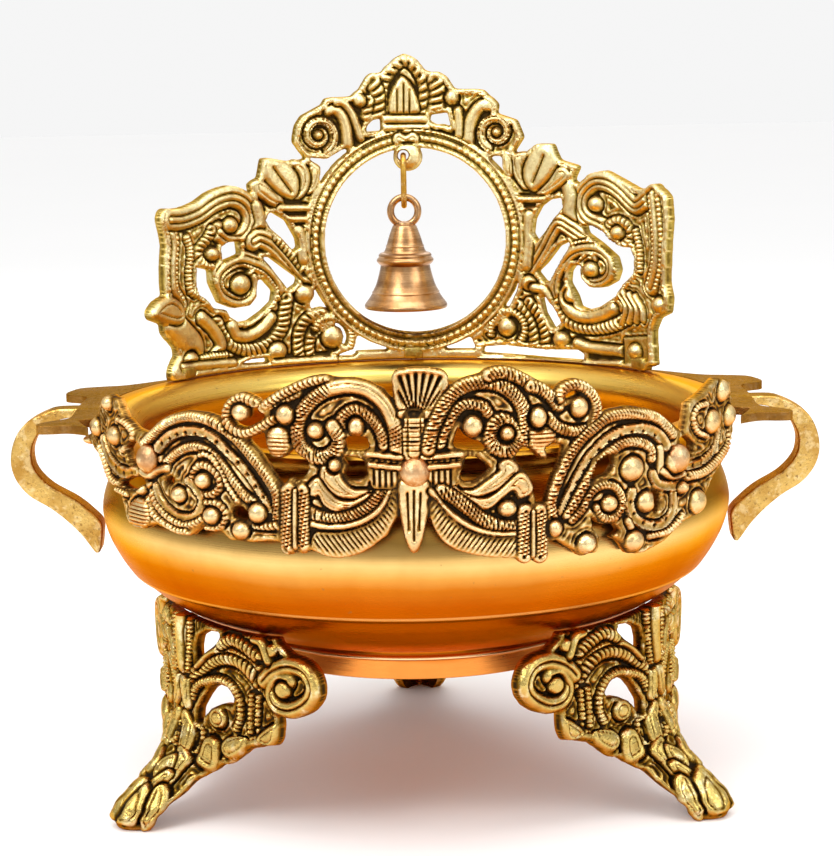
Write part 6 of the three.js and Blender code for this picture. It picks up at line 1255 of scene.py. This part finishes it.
# ------------------------------------------------------------------ pins of the front panel
PINS = [("middle", -0.1, 152.0), ("left", -48.3, 150.8), ("right", 47.2, 147.6)]
M_PIN = cast_brass("antique_pin", (0.012, 0.007, 0.004), (0.12, 0.06, 0.02), (0.46, 0.24, 0.09), (0.62, 0.38, 0.19), (0.60, 0.22, 0.03), rough=(0.55, 0.34))
for tag, deg, z in PINS:
    d = (math.sin(math.radians(deg)), -math.cos(math.radians(deg)), 0)
    prof = [[0, 109.2], [2.2, 109.2], [2.6, 109.5], [2.6, 110.2], [1.3, 110.4], [1.3, 132.6], [5.3, 132.7], [5.6, 133.1]] + [[5.6 * math.cos(t), 133.2 + 4.75 * math.sin(t)] for t in np.linspace(0.05, math.pi / 2 - 0.02, 12)] + [[0, 137.95]]
    co, f, arcs = lathe_data(soften(prof, 0.25), 48, (0, 0, z), d)
    dist = np.repeat(np.array(soften(prof, 0.25))[:, 1], 48)
    pat = np.clip(0.25 + (dist - 133.0) * 0.3, 0.15, 1)
    wear(new_object("pin_dome_" + tag, co * MM, f, {"pat": pat}, angle=40), M_PIN, "antique_brass", "panel_pin_" + tag)

# ------------------------------------------------------------------ link, bell, clapper
BX, BY = -3.0, 123.8
top, bot, hw = 250.4 - 4.9, 227.6 + 4.9, 4.9
line = [(BX, BY + hw * math.cos(t), top + hw * math.sin(t)) for t in np.linspace(0, math.pi, 20)]
line += [(BX, BY - hw, z) for z in np.linspace(top, bot, 8)[1:-1]]
line += [(BX, BY - hw * math.cos(t), bot - hw * math.sin(t)) for t in np.linspace(0, math.pi, 20)]
line += [(BX, BY + hw, z) for z in np.linspace(bot, top, 8)[1:-1]]
co, f = tube_data(np.array(line), 1.3, 20, True)
wear(new_object("link_wire", co * MM, f, angle=0, body="link"), M_LINK, "satin_brass", "hanging_link")

BELL_RUNS = [
    [[0, 214.8], [3, 214.2], [5, 213], [7, 209], [8.8, 202], [11.6, 193], [15, 185], [17.2, 181.4]], [[17.2, 181.4], [17.8, 181.0]], [[17.8, 181.0], [18.6, 181.0]],
    [[18.6, 181.0], [19.0, 181.6], [18.9, 182.6], [18.0, 183.9]], [[18.0, 183.9], [16.6, 185.8], [15.3, 187.9]], [[15.3, 187.9], [15.5, 188.3], [15.0, 188.8]], [[15.0, 188.8], [13.6, 191.6], [12.7, 194.4], [11.7, 198.2], [11.2, 200.7]],
    [[11.2, 200.7], [11.9, 201.1], [12.9, 202.3], [12.95, 203.2], [12.3, 204.0]], [[12.3, 204.0], [12.0, 204.3]], [[12.0, 204.3], [12.1, 205.2], [11.4, 206.0], [9.9, 206.4]],
    [[9.9, 206.4], [9.2, 207.4], [8.6, 209.0]], [[8.6, 209.0], [8.75, 209.4], [8.3, 209.9]], [[8.3, 209.9], [7.4, 213], [6.5, 215.6], [5.7, 217.7], [5.2, 218.7], [4.3, 219.3]], [[4.3, 219.3], [4.2, 219.8], [3.6, 220.3], [0, 220.3]],
]
prof = soften(profile(BELL_RUNS, 0.7), 0.18)
prof[:, 0] = np.minimum(prof[:, 0], 18.95)
co, f, arcs = lathe_data(prof, 96, (BX, BY, 0))
ring_line = np.array([[BX + 6.2 * math.sin(t), BY, 225.1 + 6.3 * math.cos(t)] for t in np.linspace(0, 2 * math.pi, 72, endpoint=False)])
rc, rf = tube_data(ring_line, 1.66, 18, True)
rc[:, 1] = BY + (rc[:, 1] - BY) * 0.9
bc, bf = merge((co, f), (rc, rf))
arc_all = np.concatenate([arcs * MM, np.zeros(len(rc))])
bell = new_object("bell_turned", bc * MM, bf, {"arc": arc_all}, angle=36, body="bell")
wear(bell, M_BELL, "bell_bronze", "bell")

st = np.array([[BX + 2.2 * math.sin(t), BY, 211.2 + 2.2 * math.cos(t)] for t in np.linspace(0, 2 * math.pi, 36, endpoint=False)])
peg, pf, _ = lathe_data([[0, 213.2], [0.8, 213.2], [0.8, 217.5], [0.5, 217.8], [0, 217.8]], 20, (BX, BY, 0))
c2, f2 = merge(tube_data(st, 0.6, 12, True), (peg, pf))
wear(new_object("staple_wire", c2 * MM, f2, {"arc": np.zeros(len(c2))}, angle=40, body="bell"), M_BELL, "bell_bronze", "clapper_staple")
cr = np.array([[BX, BY + 2 * math.sin(t), 208.5 + 2 * math.cos(t)] for t in np.linspace(0, 2 * math.pi, 36, endpoint=False)])
dp, df, da = lathe_data(profile([[[0, 186.4], [1.6, 186.8], [3.2, 188.6], [3.6, 190.6], [3, 192.8], [1.4, 194.6], [0.9, 195.8]], [[0.9, 195.8], [0.9, 206.6]], [[0.9, 206.6], [0, 206.6]]], 0.5), 32, (BX, BY, 0))
c3, f3 = merge(tube_data(cr, 0.6, 12, True), (dp, df))
wear(new_object("clapper_drop", c3 * MM, f3, {"arc": np.concatenate([np.zeros(36 * 12), da * MM])}, angle=40, body="clapper"), M_BELL, "bell_bronze", "clapper")

# ------------------------------------------------------------------ screws and bushes stay as the CAD has them, with rounded edges
for name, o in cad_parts.items():
    if "screw" in name or "bush" in name:
        o.data.materials.clear()
        o.data.materials.append(M_SCREW)
        b = o.modifiers.new("soft_edges", "BEVEL")
        b.width, b.segments, b.limit_method, b.angle_limit = 0.00018, 2, "ANGLE", math.radians(40)
        o.data.shade_smooth()

# ------------------------------------------------------------------ stage, light and camera
n = Nodes("floor_paper")
n.set(color=n.mix(n.noise(3.0, 2, 0.5), (0.95, 0.948, 0.945), (0.965, 0.962, 0.96)), rough=0.85, metal=0.0)
me = bpy.data.meshes.new("floor")
me.from_pydata([(-6, -6, 0), (6, -6, 0), (6, 6, 0), (-6, 6, 0)], [], [(0, 1, 2, 3)])
floor = bpy.data.objects.new("floor", me)
bpy.context.scene.collection.objects.link(floor)
me.materials.append(n.mat)

world = bpy.data.worlds.new("studio")
bpy.context.scene.world = world
world.use_nodes = True
wt = world.node_tree
bg = wt.nodes["Background"]
tc = wt.nodes.new("ShaderNodeTexCoord")
sep = wt.nodes.new("ShaderNodeSeparateXYZ")
wt.links.new(tc.outputs["Generated"], sep.inputs[0])
cr = wt.nodes.new("ShaderNodeValToRGB")
while len(cr.color_ramp.elements) < len(WORLD):
    cr.color_ramp.elements.new(0.5)
for e, (p, c) in zip(cr.color_ramp.elements, WORLD):
    e.position, e.color = p, (*c, 1)
mr = wt.nodes.new("ShaderNodeMapRange")
mr.inputs[1].default_value, mr.inputs[2].default_value = -1.0, 1.0
wt.links.new(sep.outputs[2], mr.inputs[0])
wt.links.new(mr.outputs[0], cr.inputs[0])
mb = wt.nodes.new("ShaderNodeMapRange")
mb.interpolation_type = "SMOOTHSTEP"
mb.inputs[1].default_value, mb.inputs[2].default_value = BACKDROP[0], BACKDROP[1]
wt.links.new(sep.outputs[1], mb.inputs[0])
mx = wt.nodes.new("ShaderNodeMix")
mx.data_type = "RGBA"
wt.links.new(mb.outputs[0], mx.inputs[0])
wt.links.new(cr.outputs[0], mx.inputs[6])
mx.inputs[7].default_value = (*BACKDROP[2], 1)
wt.links.new(mx.outputs[2], bg.inputs[0])
bg.inputs[1].default_value = WORLD_STRENGTH


def area(name, at, target, size, power, color=(1, 1, 1), size_y=None):
    l = bpy.data.lights.new(name, "AREA")
    l.energy, l.color, l.size = power, color, size
    if size_y:
        l.shape, l.size_y = "RECTANGLE", size_y
    o = bpy.data.objects.new(name, l)
    o.location = at
    o.rotation_mode = "QUATERNION"
    o.rotation_quaternion = (Vector(target) - Vector(at)).to_track_quat("-Z", "Y")
    bpy.context.scene.collection.objects.link(o)


for a in LIGHTS:
    area(*a)

cam = bpy.data.cameras.new("camera")
cam.lens, cam.sensor_width, cam.sensor_fit = 102.66, 36.0, "AUTO"
cam.clip_start, cam.clip_end = 0.05, 50
co_ = bpy.data.objects.new("camera", cam)
bpy.context.scene.collection.objects.link(co_)
p, r = math.radians(9.530), math.radians(1.088)
fwd = Vector((0, math.cos(p), -math.sin(p)))
right0 = Vector((1, 0, 0))
up0 = right0.cross(fwd)
right = math.cos(r) * right0 - math.sin(r) * up0
up = math.sin(r) * right0 + math.cos(r) * up0
m = Matrix((right, up, -fwd)).transposed().to_4x4()
m.translation = Vector((0.000945, -0.98856, 0.31160))
co_.matrix_world = m
bpy.context.scene.camera = co_

bpy.context.scene.view_settings.view_transform = "Standard"
